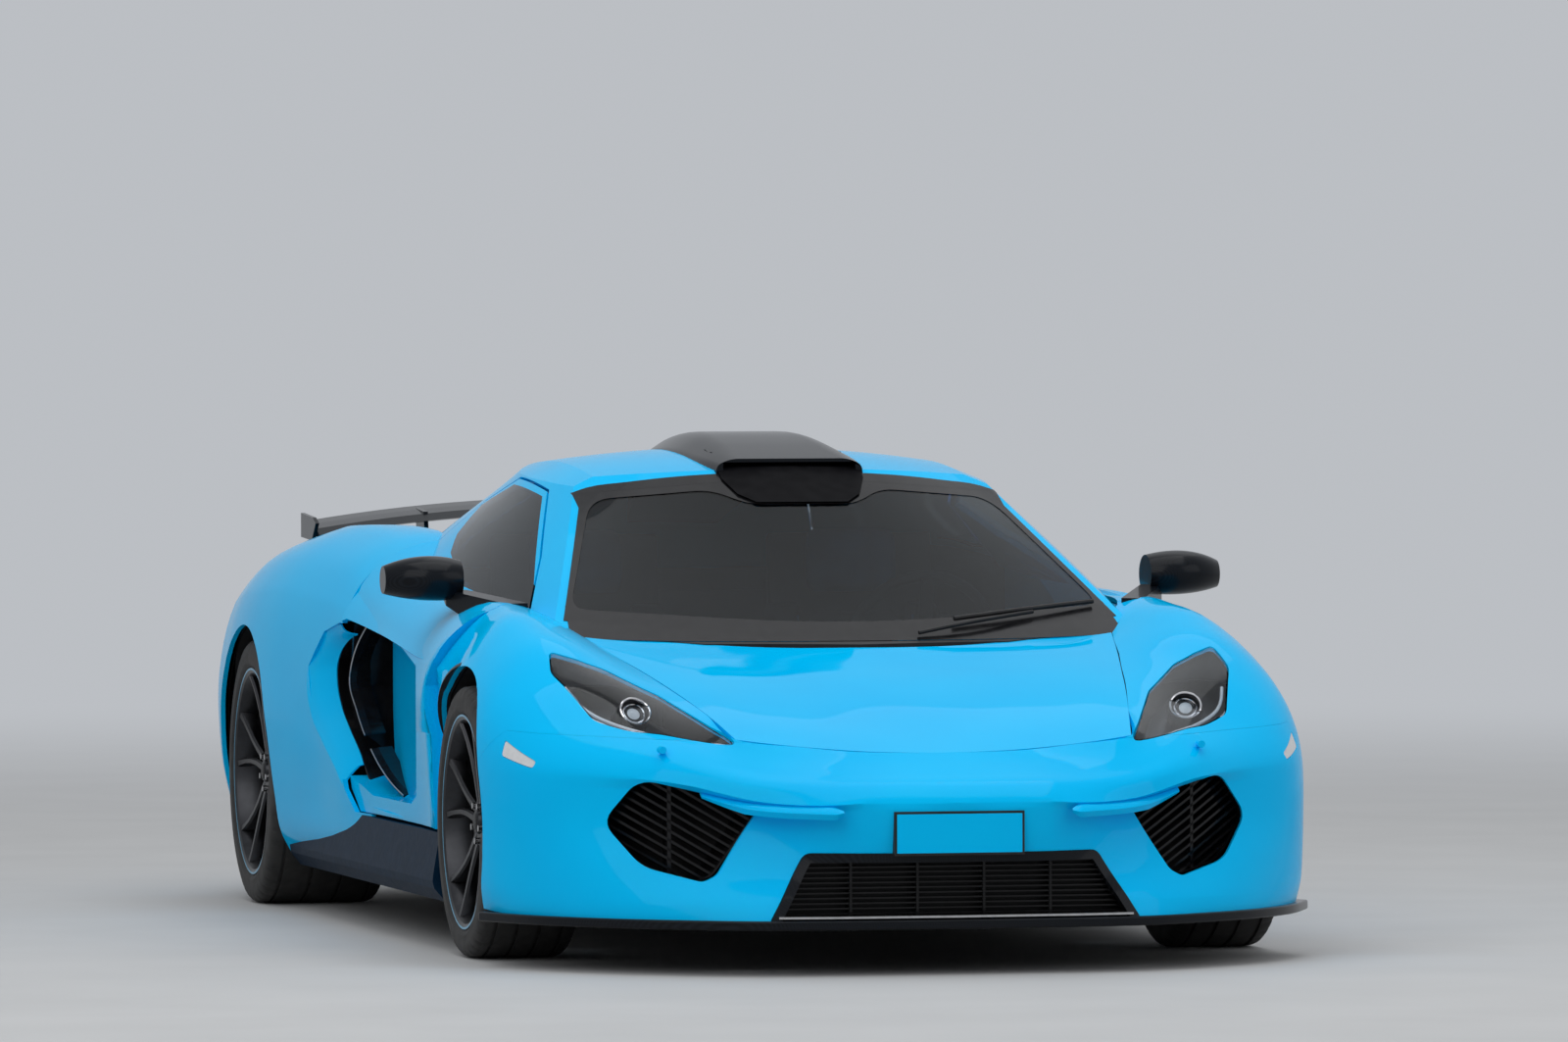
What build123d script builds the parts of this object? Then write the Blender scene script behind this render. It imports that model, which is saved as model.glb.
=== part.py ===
"""Mid-engined two-seat supercar with a wide body kit, in millimetres.

Frame: +Z up, the car faces -Y, its left side is +X.  The origin is on the
ground, under the middle of the car.
"""
from build123d import *
import math
import os

os.makedirs("parts", exist_ok=True)

# ---------------------------------------------------------------- driving dimensions
BODY_NOSE_Y = -2243
TAIL_Y = 2255
WHEELBASE = 2670
FRONT_AXLE_Y = -1225
REAR_AXLE_Y = FRONT_AXLE_Y + WHEELBASE
FLOOR_Z = 118
SKIN = 28
GREENHOUSE_SKIN = 26
GLASS = 6
GAP = 6
DOOR_GAP = 7
WIDE = 1200
SIDES = (("left", 1), ("right", -1))

# Wheels: axle, tyre radius, rim radius, hub height, outer rim plane, tyre width
WHEEL_COLUMNS = ("end", "axle_y", "tyre_r", "rim_r", "rim_face_x", "tyre_w", "disc_r")
WHEELS = (
    ("front", FRONT_AXLE_Y, 326, 264, 979, 245, 185),
    ("rear", REAR_AXLE_Y, 346, 277, 1021, 325, 180),
)
ARCH_R = {"front": 377, "rear": 388}
ARCH_INNER = {"front": 560, "rear": 620}

# Doors swing up and out about one tilted line.  OPEN_TILT is the direction
# that the tail of an open door points to, from level, seen from the front.
OPEN_TILT = 50
HINGE_Y = -955
HINGE_X = 900
HINGE_Z = 864
DOOR_INNER_X = 735
# inner face of the door in plan (x, y): it tapers so that the tail clears the haunch as it swings
DOOR_INNER_PLAN = ((DOOR_INNER_X, -1300), (DOOR_INNER_X, 300), (885, 456), (885, 800))
DOOR_RELIEF = 14
# upper edge of the door as points on the skin (x, y, z), round from the front
DOOR_TOP_EDGE = ((840, -945, 836), (700, -600, 985), (578, -235, 1112), (560, 120, 1118),
                 (600, 345, 1052), (700, 430, 960), (850, 452, 860), (960, 440, 700))
# lower edge in side view (y, z)
DOOR_LOW_EDGE = ((-945, 1400), (-945, 830), (-815, 640), (-800, 290), (245, 290), (330, 345),
                 (400, 520), (460, 700), (470, 1400))
WINDOW_EDGE = ((790, -905, 850), (700, -580, 978), (590, -235, 1100), (575, 120, 1106),
               (610, 330, 1046), (690, 225, 968), (735, 90, 925), (790, -260, 868))

# Lids: edge points in plan (x, y), half outline from the middle of the front
LID_EDGE = ((0, -2062), (474, -1996), (519, -1800), (579, -1500), (634, -1225), (662, -1078),
            (380, -1192), (0, -1228))
LID_HINGE = (-985, 812)
COVER_EDGE = ((0, 960), (360, 960), (455, 1300), (500, 1700), (480, 1900), (0, 1935))
COVER_HINGE = (945, 1135)

# Lower body, one row a station along the car: the middle line, the bonnet
# or deck edge, the wing crest, the shoulder, the widest line and the sill.
BODY_COLUMNS = ("y", "mid_z", "edge_x", "edge_z", "crest_x", "crest_z",
                "shoulder_x", "shoulder_z", "wide_x", "wide_z", "sill_x", "sill_z")
BODY = (
    (-2290, 405, 430, 412, 640, 400, 800, 350, 880, 270, 900, 160),
    (-2050, 515, 468, 528, 690, 515, 850, 440, 925, 320, 940, 160),
    (-1800, 608, 515, 600, 740, 622, 900, 545, 975, 380, 985, 160),
    (-1500, 690, 575, 675, 800, 735, 958, 640, 1022, 450, 1015, 170),
    (-1225, 742, 630, 735, 840, 800, 1000, 704, 1045, 500, 1030, 180),
    (-900, 790, 690, 800, 815, 838, 955, 750, 990, 520, 975, 190),
    (-350, 850, 700, 858, 800, 856, 925, 770, 950, 520, 945, 200),
    (300, 870, 660, 890, 800, 900, 935, 800, 965, 560, 955, 200),
    (850, 880, 600, 920, 770, 1000, 945, 880, 1030, 600, 1000, 190),
    (1445, 890, 560, 910, 800, 985, 990, 860, 1060, 600, 1040, 180),
    (1950, 890, 540, 898, 740, 925, 930, 815, 1015, 590, 990, 190),
    (2290, 870, 520, 878, 700, 885, 880, 780, 950, 560, 920, 220),
)

# Greenhouse, one row a level: windscreen middle, windscreen corner, widest
# point of the side, rear end of the side and middle of the tail.
GREENHOUSE_COLUMNS = ("z", "front_y", "corner_x", "corner_y", "side_x", "side_y",
                      "back_x", "back_y", "tail_y")
GREENHOUSE = (
    (720, -1235, 758, -1180, 885, -200, 640, 1750, 2140),
    (950, -815, 623, -712, 745, 50, 500, 1330, 1600),
    (1120, -520, 525, -350, 575, 150, 420, 760, 960),
    (1230, -325, 465, -110, 490, 150, 350, 430, 520),
)

# Roof crown: height in the middle at each station
CROWN = ((-1300, 1075), (-450, 1158), (200, 1206), (800, 1152), (1500, 1010), (2300, 850))
CROWN_DROP = 34
CROWN_HALF = 475


SKIRT_PROFILE = ((860, 118), (960, 118), (985, 150), (988, 168), (962, 283), (860, 283))
SPLITTER_Z = (106, 132)
GRILLE_PLAN = ((425, -2030), (770, -1810), (770, -1795), (425, -2015))
DUCT_PLAN = ((770, 330), (800, 330), (830, 700), (900, 745), (900, 760), (800, 740), (770, 700))
DUCT_EDGE = ((345, 352), (412, 395), (640, 525), (706, 643), (600, 738), (478, 765), (478, 700), (418, 520))
BLADE_EDGE = ((440, 430), (520, 600), (480, 755), (500, 755), (545, 600), (465, 430))
JACK_PAD_X = 680
JACK_PAD_Y = (-690, 560)
WING_PROFILE = ((2005, 1012), (2060, 1030), (2140, 1040), (2225, 1048), (2225, 1041), (2140, 1022), (2050, 1008))
WING_PLATE = ((2015, 985), (2060, 1000), (2235, 1010), (2235, 945), (2075, 938))

# Where the fixed panels meet
FLOOR_TOP = 160
BUMPER_EDGE = ((-2400, FLOOR_TOP), (-2400, 520), (-1990, 540), (-1640, 560), (-1560, 480), (-1560, FLOOR_TOP))
WING_REAR_Y = -700
QUARTER_FRONT_Y = 120
TAIL_EDGE = ((1990, FLOOR_TOP), (1990, 600), (2120, 760), (2120, 1000), (2400, 1000), (2400, FLOOR_TOP))
SILL_TOP = 283

# Openings in the nose: corner intakes and the wide lower intake, front view (x, z)
CORNER_INTAKE = ((442, 392), (690, 448), (752, 350), (690, 255), (577, 219), (545, 232))
LOWER_INTAKE = ((345, 273), (435, 135), (-435, 135), (-345, 273))
TAIL_OPENING = ((640, 560), (640, 700), (-640, 700), (-640, 560))
TAIL_LAMP = ((560, 738), (900, 705), (900, 735), (560, 768))

# headlamp outline in plan (x, y): a swept tear with its tip towards the nose
HEADLAMP_EDGE = ((479, -2003), (520, -1900), (600, -1690), (700, -1545), (815, -1465), (830, -1560),
                 (770, -1760), (690, -1850), (600, -1925))

# Deep scoop along the door into the side intake: side view (y, z) and plan (x, y)
SCOOP_EDGE = ((-790, 650), (-300, 722), (400, 772), (600, 740), (713, 643), (640, 520), (420, 390), (100, 335),
              (-400, 335), (-700, 430))
SCOOP_PLAN = ((1300, -700), (985, -660), (905, -250), (835, 450), (835, 760), (1300, 760))
MOUTH_EDGE = ((345, 352), (412, 395), (640, 525), (700, 643), (600, 735), (478, 760), (478, 700), (418, 520))

# Wheels and uprights: spokes, kingpin inboard of the rim face, ball joints above and below the hub
SPOKES = 5
KINGPIN_IN = 149
BALL_Z = 155

# Cabin: seat and dashboard in side view (y, z), and the steering wheel's centre and tilt
SEAT_X = 360
SEAT_PROFILE = ((-150, 170), (-150, 360), (60, 345), (225, 335), (320, 600), (385, 850), (405, 1000), (440, 1012),
                (485, 985), (480, 800), (420, 500), (345, 170))
DASH_PROFILE = ((-822, 540), (-822, 740), (-640, 775), (-480, 765), (-440, 700), (-500, 560), (-640, 540))
STEERING_X = 360
STEERING_Y = -350
STEERING_Z = 720
STEERING_TILT = 24


# ---------------------------------------------------------------- shared shapes
def common(*shapes):
    """What all the shapes share."""
    with BuildPart() as result:
        add(shapes[0])
        for shape in shapes[1:]:
            add(shape, mode=Mode.INTERSECT)
    return result.part


def rows(columns, table):
    """Give each row of a table its column names."""
    return [dict(zip(columns, row)) for row in table]


def body_section(row, inset):
    """One closed cross section of the lower body, moved in by the inset."""
    edge = (row["edge_x"], row["edge_z"] - inset)
    crest = (row["crest_x"] - 0.5 * inset, row["crest_z"] - inset)
    shoulder = (row["shoulder_x"] - 0.8 * inset, row["shoulder_z"] - 0.6 * inset)
    wide = (row["wide_x"] - inset, row["wide_z"])
    sill = (row["sill_x"] - inset, row["sill_z"] + 0.5 * inset)
    floor = (row["sill_x"] - 90 - inset, FLOOR_Z + inset)
    with BuildSketch(Plane.XZ.offset(-row["y"])) as section:
        with BuildLine():
            for side in (1, -1):
                Line((side * edge[0], edge[1]), (side * crest[0], crest[1]))
                ThreePointArc((side * crest[0], crest[1]), (side * shoulder[0], shoulder[1]),
                              (side * wide[0], wide[1]))
                Line((side * wide[0], wide[1]), (side * sill[0], sill[1]))
                Line((side * sill[0], sill[1]), (side * floor[0], floor[1]))
            ThreePointArc((-edge[0], edge[1]), (0, row["mid_z"] - inset), edge)
            Line((-floor[0], floor[1]), floor)
        make_face()
    return section.sketch


def lower_body(inset):
    """Full-width lower body, without its plan outline."""
    with BuildPart() as body:
        loft(sections=[body_section(row, inset) for row in rows(BODY_COLUMNS, BODY)])
    return body.part


def plan_outline(inset):
    """Rounded nose and tail in plan, as a tall prism."""
    wide = WIDE - inset
    with BuildPart() as plan:
        with BuildSketch(Plane.XY):
            with BuildLine():
                nose = (440 - inset / 2, -2185 + inset)
                front = (985 - inset, -1640 + inset / 2)
                tail = (900 - inset, 2080 - inset / 2)
                ThreePointArc((-nose[0], nose[1]), (0, BODY_NOSE_Y + inset), nose)
                ThreePointArc((-tail[0], tail[1]), (0, TAIL_Y - inset), tail)
                for side in (1, -1):
                    ThreePointArc((side * nose[0], nose[1]), (side * (770 - inset), -1950 + inset),
                                  (side * front[0], front[1]))
                    Line((side * front[0], front[1]), (side * wide, -1300))
                    Line((side * wide, -1300), (side * wide, 1800))
                    Line((side * wide, 1800), (side * tail[0], tail[1]))
            make_face()
        extrude(amount=1400)
    return plan.part


def greenhouse(inset):
    """Cabin top from the cowl to the tail, under its crowned roof."""
    with BuildPart() as house:
        levels = []
        for row in rows(GREENHOUSE_COLUMNS, GREENHOUSE):
            corner = (row["corner_x"] - inset, row["corner_y"] + inset)
            side_mid = (row["side_x"] - inset, row["side_y"])
            back = (row["back_x"] - inset, row["back_y"] - inset)
            with BuildSketch(Plane.XY.offset(row["z"])) as level:
                with BuildLine():
                    ThreePointArc((-corner[0], corner[1]), (0, row["front_y"] + inset), corner)
                    ThreePointArc((-back[0], back[1]), (0, row["tail_y"] - inset), back)
                    for side in (1, -1):
                        ThreePointArc((side * corner[0], corner[1]), (side * side_mid[0], side_mid[1]),
                                      (side * back[0], back[1]))
                make_face()
            levels.append(level.sketch)
        loft(sections=levels)
    with BuildPart() as crown:
        arcs = []
        for y, mid_z in CROWN:
            top = mid_z - inset
            with BuildSketch(Plane.XZ.offset(-y)) as arch:
                with BuildLine():
                    ThreePointArc((-CROWN_HALF, top - CROWN_DROP), (0, top), (CROWN_HALF, top - CROWN_DROP))
                    Polyline((CROWN_HALF, top - CROWN_DROP), (WIDE, top - 320), (WIDE, 300), (-WIDE, 300),
                             (-WIDE, top - 320), (-CROWN_HALF, top - CROWN_DROP))
                make_face()
            arcs.append(arch.sketch)
        loft(sections=arcs)
    return common(house.part, crown.part)


def side_prism(outline, x_from, x_to):
    """Prism of a side-view outline (y, z) between two X planes."""
    with BuildPart() as prism:
        with BuildSketch(Plane.YZ.offset(x_from)):
            with BuildLine():
                Polyline(*outline, close=True)
            make_face()
        extrude(amount=x_to - x_from)
    return prism.part


def plan_prism(outline, z_from, z_to):
    """Prism of a plan outline (x, y) between two heights."""
    with BuildPart() as prism:
        with BuildSketch(Plane.XY.offset(z_from)):
            with BuildLine():
                Polyline(*outline, close=True)
            make_face()
        extrude(amount=z_to - z_from)
    return prism.part


def region(side, grow):
    """Space of one door, grown all round by a gap."""
    tilt = math.radians(OPEN_TILT)
    out_dir = Vector(side * math.cos(tilt), 0, math.sin(tilt))
    up_dir = Vector(-side * math.sin(tilt), 0, math.cos(tilt))
    top = [(y, -math.sin(tilt) * x + math.cos(tilt) * z) for x, y, z in DOOR_TOP_EDGE]
    top += [(440, -900), (-945, -900)]
    # the sketch plane's normal is out_dir or its opposite, whichever makes up_dir its Y axis
    plane = Plane(origin=(0, 0, 0), x_dir=(0, 1, 0), z_dir=Vector(0, 1, 0).cross(up_dir))
    with BuildPart() as upper:
        with BuildSketch(plane):
            with BuildLine():
                Polyline(*top, close=True)
            make_face()
            if grow:
                offset(amount=grow)
        extrude(amount=2500, both=True)
    with BuildPart() as lower:
        with BuildSketch(Plane.YZ):
            with BuildLine():
                Polyline(*DOOR_LOW_EDGE, close=True)
            make_face()
            if grow:
                offset(amount=grow)
        extrude(amount=side * 1400)
    return common(upper.part, lower.part)


def window_region(side):
    """Space of one side window, inside the door's outline."""
    tilt = math.radians(OPEN_TILT)
    up_dir = Vector(-side * math.sin(tilt), 0, math.cos(tilt))
    edge = [(y, -math.sin(tilt) * x + math.cos(tilt) * z) for x, y, z in WINDOW_EDGE]
    plane = Plane(origin=(0, 0, 0), x_dir=(0, 1, 0), z_dir=Vector(0, 1, 0).cross(up_dir))
    with BuildPart() as window:
        with BuildSketch(plane):
            with BuildLine():
                Polyline(*edge, close=True)
            make_face()
        extrude(amount=2500, both=True)
    with BuildPart() as half:
        add(window.part)
        with Locations((side * 1000, 0, 1000)):
            Box(2000, 6000, 2000, mode=Mode.INTERSECT)
    return half.part


def box(x, y, z):
    """Box between named pairs of limits."""
    with BuildPart() as block:
        with Locations(((x[0] + x[1]) / 2, (y[0] + y[1]) / 2, (z[0] + z[1]) / 2)):
            Box(x[1] - x[0], y[1] - y[0], z[1] - z[0])
    return block.part


def pair(x, y, z):
    """Box on each side of the car."""
    return [box(x, y, z), box((-x[1], -x[0]), y, z)]


def full_outline(edge, grow=0):
    """Closed plan prism from the left half of an outline that starts and ends in the middle."""
    points = list(edge) + [(-x, y) for x, y in reversed(edge[1:-1])]
    with BuildPart() as prism:
        with BuildSketch(Plane.XY):
            with BuildLine():
                Polyline(*points, close=True)
            make_face()
            if grow:
                offset(amount=grow)
        extrude(amount=1500)
    return prism.part


def export(part, name):
    """Label a finished piece and write it."""
    part.label = name
    export_step(part, f"parts/{name}.step")


def cut(base, *tools):
    """The base less every tool."""
    with BuildPart() as result:
        add(base)
        for tool in tools:
            add(tool, mode=Mode.SUBTRACT)
    return result.part


def fuse(*shapes):
    """All the shapes as one part."""
    with BuildPart() as result:
        for shape in shapes:
            add(shape)
    return result.part


def wheel_arches(grow=0):
    """The four wheel wells, as cylinders across the car."""
    wells = []
    for wheel in rows(WHEEL_COLUMNS, WHEELS):
        inner = ARCH_INNER[wheel["end"]]
        for _, side in SIDES:
            with BuildPart() as well:
                with BuildSketch(Plane.YZ.offset(side * inner)):
                    with Locations((wheel["axle_y"], wheel["tyre_r"])):
                        Circle(ARCH_R[wheel["end"]] + grow)
                extrude(amount=side * (WIDE + 100 - inner))
            wells.append(well.part)
    return wells


# ---------------------------------------------------------------- body skin
lower = common(lower_body(0), plan_outline(0))
lower_inner = common(lower_body(SKIN), plan_outline(SKIN))
house = greenhouse(0)
house_inner = greenhouse(GREENHOUSE_SKIN)
house_glass = greenhouse(GLASS)
full = fuse(lower, house)
hollow = fuse(lower_inner, house_inner)
shell = cut(full, hollow)
arches = wheel_arches()
door_holes = [region(side, DOOR_GAP) for _, side in SIDES]
door_reliefs = [common(region(side, DOOR_RELIEF), box((-840, 840), (0, 800), (770, 900))) for _, side in SIDES]
windows = [window_region(side) for _, side in SIDES]
lid_prism = full_outline(LID_EDGE)
lid_hole = full_outline(LID_EDGE, GAP)
cover_prism = full_outline(COVER_EDGE)
cover_hole = full_outline(COVER_EDGE, GAP)


bumper_prism = side_prism(BUMPER_EDGE, -WIDE, WIDE)
tail_prism = side_prism(TAIL_EDGE, -WIDE, WIDE)


def front_prism(outline, y_from, y_to, grow=0):
    """Prism of a front-view outline (x, z) between two Y planes."""
    with BuildPart() as prism:
        with BuildSketch(Plane.XZ.offset(-y_from)):
            with BuildLine():
                Polyline(*outline, close=True)
            make_face()
            if grow:
                offset(amount=grow)
        extrude(amount=y_from - y_to)
    return prism.part


def mirrored(outline):
    """Front-view outline on the other side."""
    return tuple((-x, z) for x, z in outline)


corner_holes = [front_prism(CORNER_INTAKE, -2400, -1800), front_prism(mirrored(CORNER_INTAKE), -2400, -1800)]
lower_hole = front_prism(LOWER_INTAKE, -2400, -1800)


def headlamp_prism(side, grow=0):
    """Plan prism of one headlamp."""
    with BuildPart() as prism:
        with BuildSketch(Plane.XY.offset(400)):
            with BuildLine():
                Polyline(*[(side * x, y) for x, y in HEADLAMP_EDGE], close=True)
            make_face()
            if grow:
                offset(amount=grow)
        extrude(amount=500)
    return prism.part


headlamp_holes = [headlamp_prism(side) for _, side in SIDES]
front_bumper = cut(common(shell, bumper_prism), *corner_holes, lower_hole, *arches, lid_hole, *headlamp_holes)
export(front_bumper, "front_bumper")
sill_space = box((-WIDE, WIDE), (-900, 1110), (0, SILL_TOP))
wing_box = box((-WIDE, WIDE), (-2400, WING_REAR_Y), (FLOOR_TOP, 1400))
wings = cut(common(cut(lower, lower_inner), wing_box), bumper_prism, lid_hole, *arches, *door_holes,
            *headlamp_holes, box((-672, 672), (-1500, WING_REAR_Y), (0, 1400)), sill_space)
export(wings, "front_wings")

scoops = []
mouths = []
for _, side in SIDES:
    wedge = plan_prism([(side * x, y) for x, y in SCOOP_PLAN], 300, 800)
    scoops.append(common(side_prism(SCOOP_EDGE, side * 700, side * WIDE), wedge))
    mouths.append(side_prism(MOUTH_EDGE, side * 760, side * WIDE))

quarter_box = box((-WIDE, WIDE), (QUARTER_FRONT_Y, 2400), (FLOOR_TOP, 1400))
quarters = cut(common(cut(lower, lower_inner), quarter_box), house_inner, tail_prism, cover_hole, *arches,
               *door_holes, *door_reliefs, box((-700, 700), (-500, 900), (0, 1400)), sill_space, *scoops,
               *mouths)
export(quarters, "rear_quarters")

windscreen_edge = ((0, 742), (690, 800), (520, 1098), (0, 1140), (-520, 1098), (-690, 800))
windscreen_prism = front_prism(windscreen_edge, -1300, -250)
rear_window_prism = full_outline(((0, 560), (350, 560), (330, 945), (0, 945)))
roof = cut(common(shell, box((-WIDE, WIDE), (-1300, 2300), (700, 1400))), lower, windscreen_prism,
           rear_window_prism, cover_hole, *door_holes)
export(roof, "roof_frame")

glass = cut(house, house_glass)
export(cut(fuse(common(glass, windscreen_prism), common(glass, rear_window_prism)), lower), "fixed_glass")

lid = cut(common(cut(lower, lower_inner), lid_prism, box((-WIDE, WIDE), (-2400, -900), (400, 1400))), house)
export(lid, "front_lid")
cover = common(shell, cover_prism, box((-WIDE, WIDE), (700, 2000), (700, 1400)))
export(cover, "engine_cover")
lamp_prisms = [front_prism(TAIL_LAMP, 1900, 2300), front_prism(mirrored(TAIL_LAMP), 1900, 2300)]
diffuser_space = box((-620, 620), (1900, 2300), (0, 335))
rear_bumper = cut(common(shell, tail_prism), front_prism(TAIL_OPENING, 1900, 2300), *arches, cover_hole,
                  *lamp_prisms, diffuser_space)
export(rear_bumper, "rear_bumper")
export(fuse(*[common(shell, lamp, tail_prism) for lamp in lamp_prisms]), "tail_lamps")

for name, side in SIDES:
    space = region(side, 0)
    inside = plan_prism([(side * x, y) for x, y in DOOR_INNER_PLAN] + [(0, 800), (0, -1300)], 0, 1400)
    outer_door = cut(common(lower, space, box((-WIDE, WIDE), (-1300, 800), (0, 1400))), inside, *arches, *scoops)
    upper_door = cut(common(shell, space, box((-WIDE, WIDE), (-1300, 800), (820, 1400))), *windows)
    export(cut(fuse(outer_door, upper_door), window_region(side)), f"door_{name}")
    door_glass = common(glass, space, window_region(side))
    export(door_glass, f"door_glass_{name}")


# ---------------------------------------------------------------- fixed trim and structure
cowl = cut(common(cut(lower, lower_inner), box((-672, 672), (-1300, -905), (725, 1400))), lid_hole, house,
           *door_holes, *pair((600, 672), (-1300, -1085), (725, 1400)))
export(cowl, "cowl")

skirts = []
for _, side in SIDES:
    with BuildPart() as skirt:
        with BuildSketch(Plane.XZ.offset(905)):
            with BuildLine():
                Polyline(*[(side * x, z) for x, z in SKIRT_PROFILE], close=True)
            make_face()
        extrude(amount=-1975)
    skirts.append(cut(skirt.part, *arches))
export(fuse(*skirts), "side_skirts")

splitter_ring = cut(common(plan_outline(-12), box((-WIDE, WIDE), (-2300, -1600), SPLITTER_Z)), plan_outline(75),
                    *arches)
frame_outer = front_prism(LOWER_INTAKE, -2249, -2120, grow=22)
intake_frame = common(cut(frame_outer, front_prism(LOWER_INTAKE, -2300, -2100), front_bumper),
                      box((-WIDE, WIDE), (-2300, -2000), (SPLITTER_Z[1], 400)))
export(fuse(splitter_ring, intake_frame), "splitter")

grilles = [common(plan_prism([(side * x, y) for x, y in GRILLE_PLAN], 210, 460), lower_inner) for _, side in SIDES]
grilles.append(common(box((-425, 425), (-2120, -2108), (140, 300)), lower_inner))
slats = [box((-630, 630), (2110, 2150), (z, z + 8)) for z in range(572, 700, 24)]
slats += [box((x - 6, x + 6), (2110, 2150), (561, 699)) for x in (-624, -420, -200, 200, 420, 624)]
grilles.append(cut(common(fuse(*slats), lower_inner), box((-190, 190), (2000, 2300), (500, 800))))
export(fuse(*grilles), "grilles")

lens_inner = lower_body(GLASS)
bowl_top = lower_body(60)
lens_clear = lower_body(GLASS + 6)
export(fuse(*[cut(common(lower, prism), lens_inner) for prism in headlamp_holes]), "headlamp_lenses")
lamps = []
for (_, side), prism in zip(SIDES, headlamp_holes):
    with BuildPart() as projector:
        with BuildSketch(Plane.XZ.offset(1800)):
            with Locations((side * 670, 606)):
                Circle(39)
        extrude(amount=-160)
    block = common(bowl_top, prism, box((-WIDE, WIDE), (-2300, -1300), (470, 1000)))
    lamps.append(cut(fuse(block, common(projector.part, lens_clear)), *wheel_arches(9)))
export(fuse(*lamps), "headlamps")

blades = []
for _, side in SIDES:
    blades += [common(plan_prism([(side * x, y) for x, y in DUCT_PLAN], 330, 790),
                      side_prism(DUCT_EDGE, side * 700, side * WIDE)),
               common(side_prism(BLADE_EDGE, side * 800, side * 925), lower_inner)]
export(fuse(*blades), "side_intakes")

# ---- chassis: flat floor, sills, bulkheads, rails and the inner arches
tray = cut(common(lower, box((-WIDE, WIDE), (-1980, 1985), (0, 150))), *wheel_arches(10), *skirts, splitter_ring)
members = [tray, *pair((600, 722), (-830, 670), (150, 400)), box((-722, 722), (-860, -830), (150, 690)),
           box((-600, 600), (640, 670), (150, 830)), *pair((370, 425), (-2060, -860), (240, 320)),
           box((-425, 425), (-2060, -2020), (240, 320)), *pair((530, 590), (670, 2100), (240, 320)),
           box((-700, 700), (2080, 2110), (240, 320))]
members += [pad for y in JACK_PAD_Y for pad in pair((JACK_PAD_X - 30, JACK_PAD_X + 30), (y - 50, y + 50), (106, 120))]
chassis = cut(fuse(*members), *arches)
export(chassis, "chassis")

liners = []
for inner_well, outer_well in zip(arches, wheel_arches(9)):
    ring = common(cut(outer_well, inner_well), lower_inner, box((-WIDE, WIDE), (-2400, 2400), (150, 1400)))
    liners.append(cut(ring, *door_holes, chassis, *skirts, front_bumper, rear_bumper))
export(fuse(*liners), "arch_liners")

tub_outer = common(box((-440, 440), (-1800, -1020), (330, 800)), lower_body(SKIN + 8))
tub_inner = box((-432, 432), (-1792, -1028), (338, 900))
export(cut(tub_outer, tub_inner), "luggage_tub")

export(box((-300, 300), (720, 1560), (200, 740)), "engine_block")

# ---- tail
fins = [box((x - 5, x + 5), (1990, 2200), (150, 330)) for x in range(-450, 451, 150)]
with BuildPart() as ramp:
    add(side_prism(((1990, 118), (2225, 290), (2225, 305), (1990, 150)), -610, 610))
fin_space = side_prism(((1990, 118), (2230, 200), (2230, 295), (1990, 150)), -610, 610)
export(common(fuse(ramp.part, *[common(fin, fin_space) for fin in fins]), plan_outline(0)), "diffuser")

pipes = []
for _, side in SIDES:
    with BuildPart() as pipe:
        with BuildSketch(Plane.XZ.offset(-1960)):
            with Locations((side * 95, 630)):
                Circle(54)
                Circle(49, mode=Mode.SUBTRACT)
        extrude(amount=-275)
    pipes.append(pipe.part)
pipes.append(box((-180, 180), (1940, 1975), (570, 690)))
export(fuse(*pipes), "exhausts")

sections = []
for x, drop in ((-735, 60), (0, 0), (735, 60)):
    with BuildSketch(Plane.YZ.offset(x)) as chord:
        with BuildLine():
            Polyline(*[(y, z - drop) for y, z in WING_PROFILE], close=True)
        make_face()
    sections.append(chord.sketch)
with BuildPart() as plane:
    loft(sections=sections)
plates = [side_prism(WING_PLATE, side * 735, side * 745) for _, side in SIDES]
stays = [cut(side_prism(((2030, 880), (2160, 880), (2170, 1022), (2060, 1014)), side * 430, side * 442), full,
             plane.part) for _, side in SIDES]
export(fuse(plane.part, *plates, *stays), "rear_wing")

# ---- roof scoop
scoop_sections = []
for y, half, top, low in ((-330, 200, 1150, 1050), (100, 205, 1240, 1100), (560, 175, 1228, 1080), (930, 120, 1150, 1000)):
    with BuildSketch(Plane.XZ.offset(-y)) as part_section:
        with BuildLine():
            Polyline((-half, low), (-half, top - 40), (-half + 45, top), (half - 45, top), (half, top - 40),
                     (half, low), close=True)
        make_face()
    scoop_sections.append(part_section.sketch)
with BuildPart() as scoop_body:
    loft(sections=scoop_sections)
    with BuildSketch(Plane.XZ.offset(340)):
        with Locations((0, 1112)):
            Rectangle(350, 52)
    extrude(amount=-300, mode=Mode.SUBTRACT)
export(cut(scoop_body.part, house), "roof_scoop")


# ---------------------------------------------------------------- wheels and suspension


def ring_profile(points, side, face_x):
    """Solid of revolution about the hub line from points (inward from the rim face, radius)."""
    with BuildPart() as ring:
        with BuildSketch(Plane.XY):
            with BuildLine():
                Polyline(*[(side * (face_x - depth), radius) for depth, radius in points], close=True)
            make_face()
        revolve(axis=Axis.X)
    return ring.part


def on_axle(part, wheel):
    """Move a part from the origin to its wheel's hub line."""
    return part.moved(Location((0, wheel["axle_y"], wheel["tyre_r"])))


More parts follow.
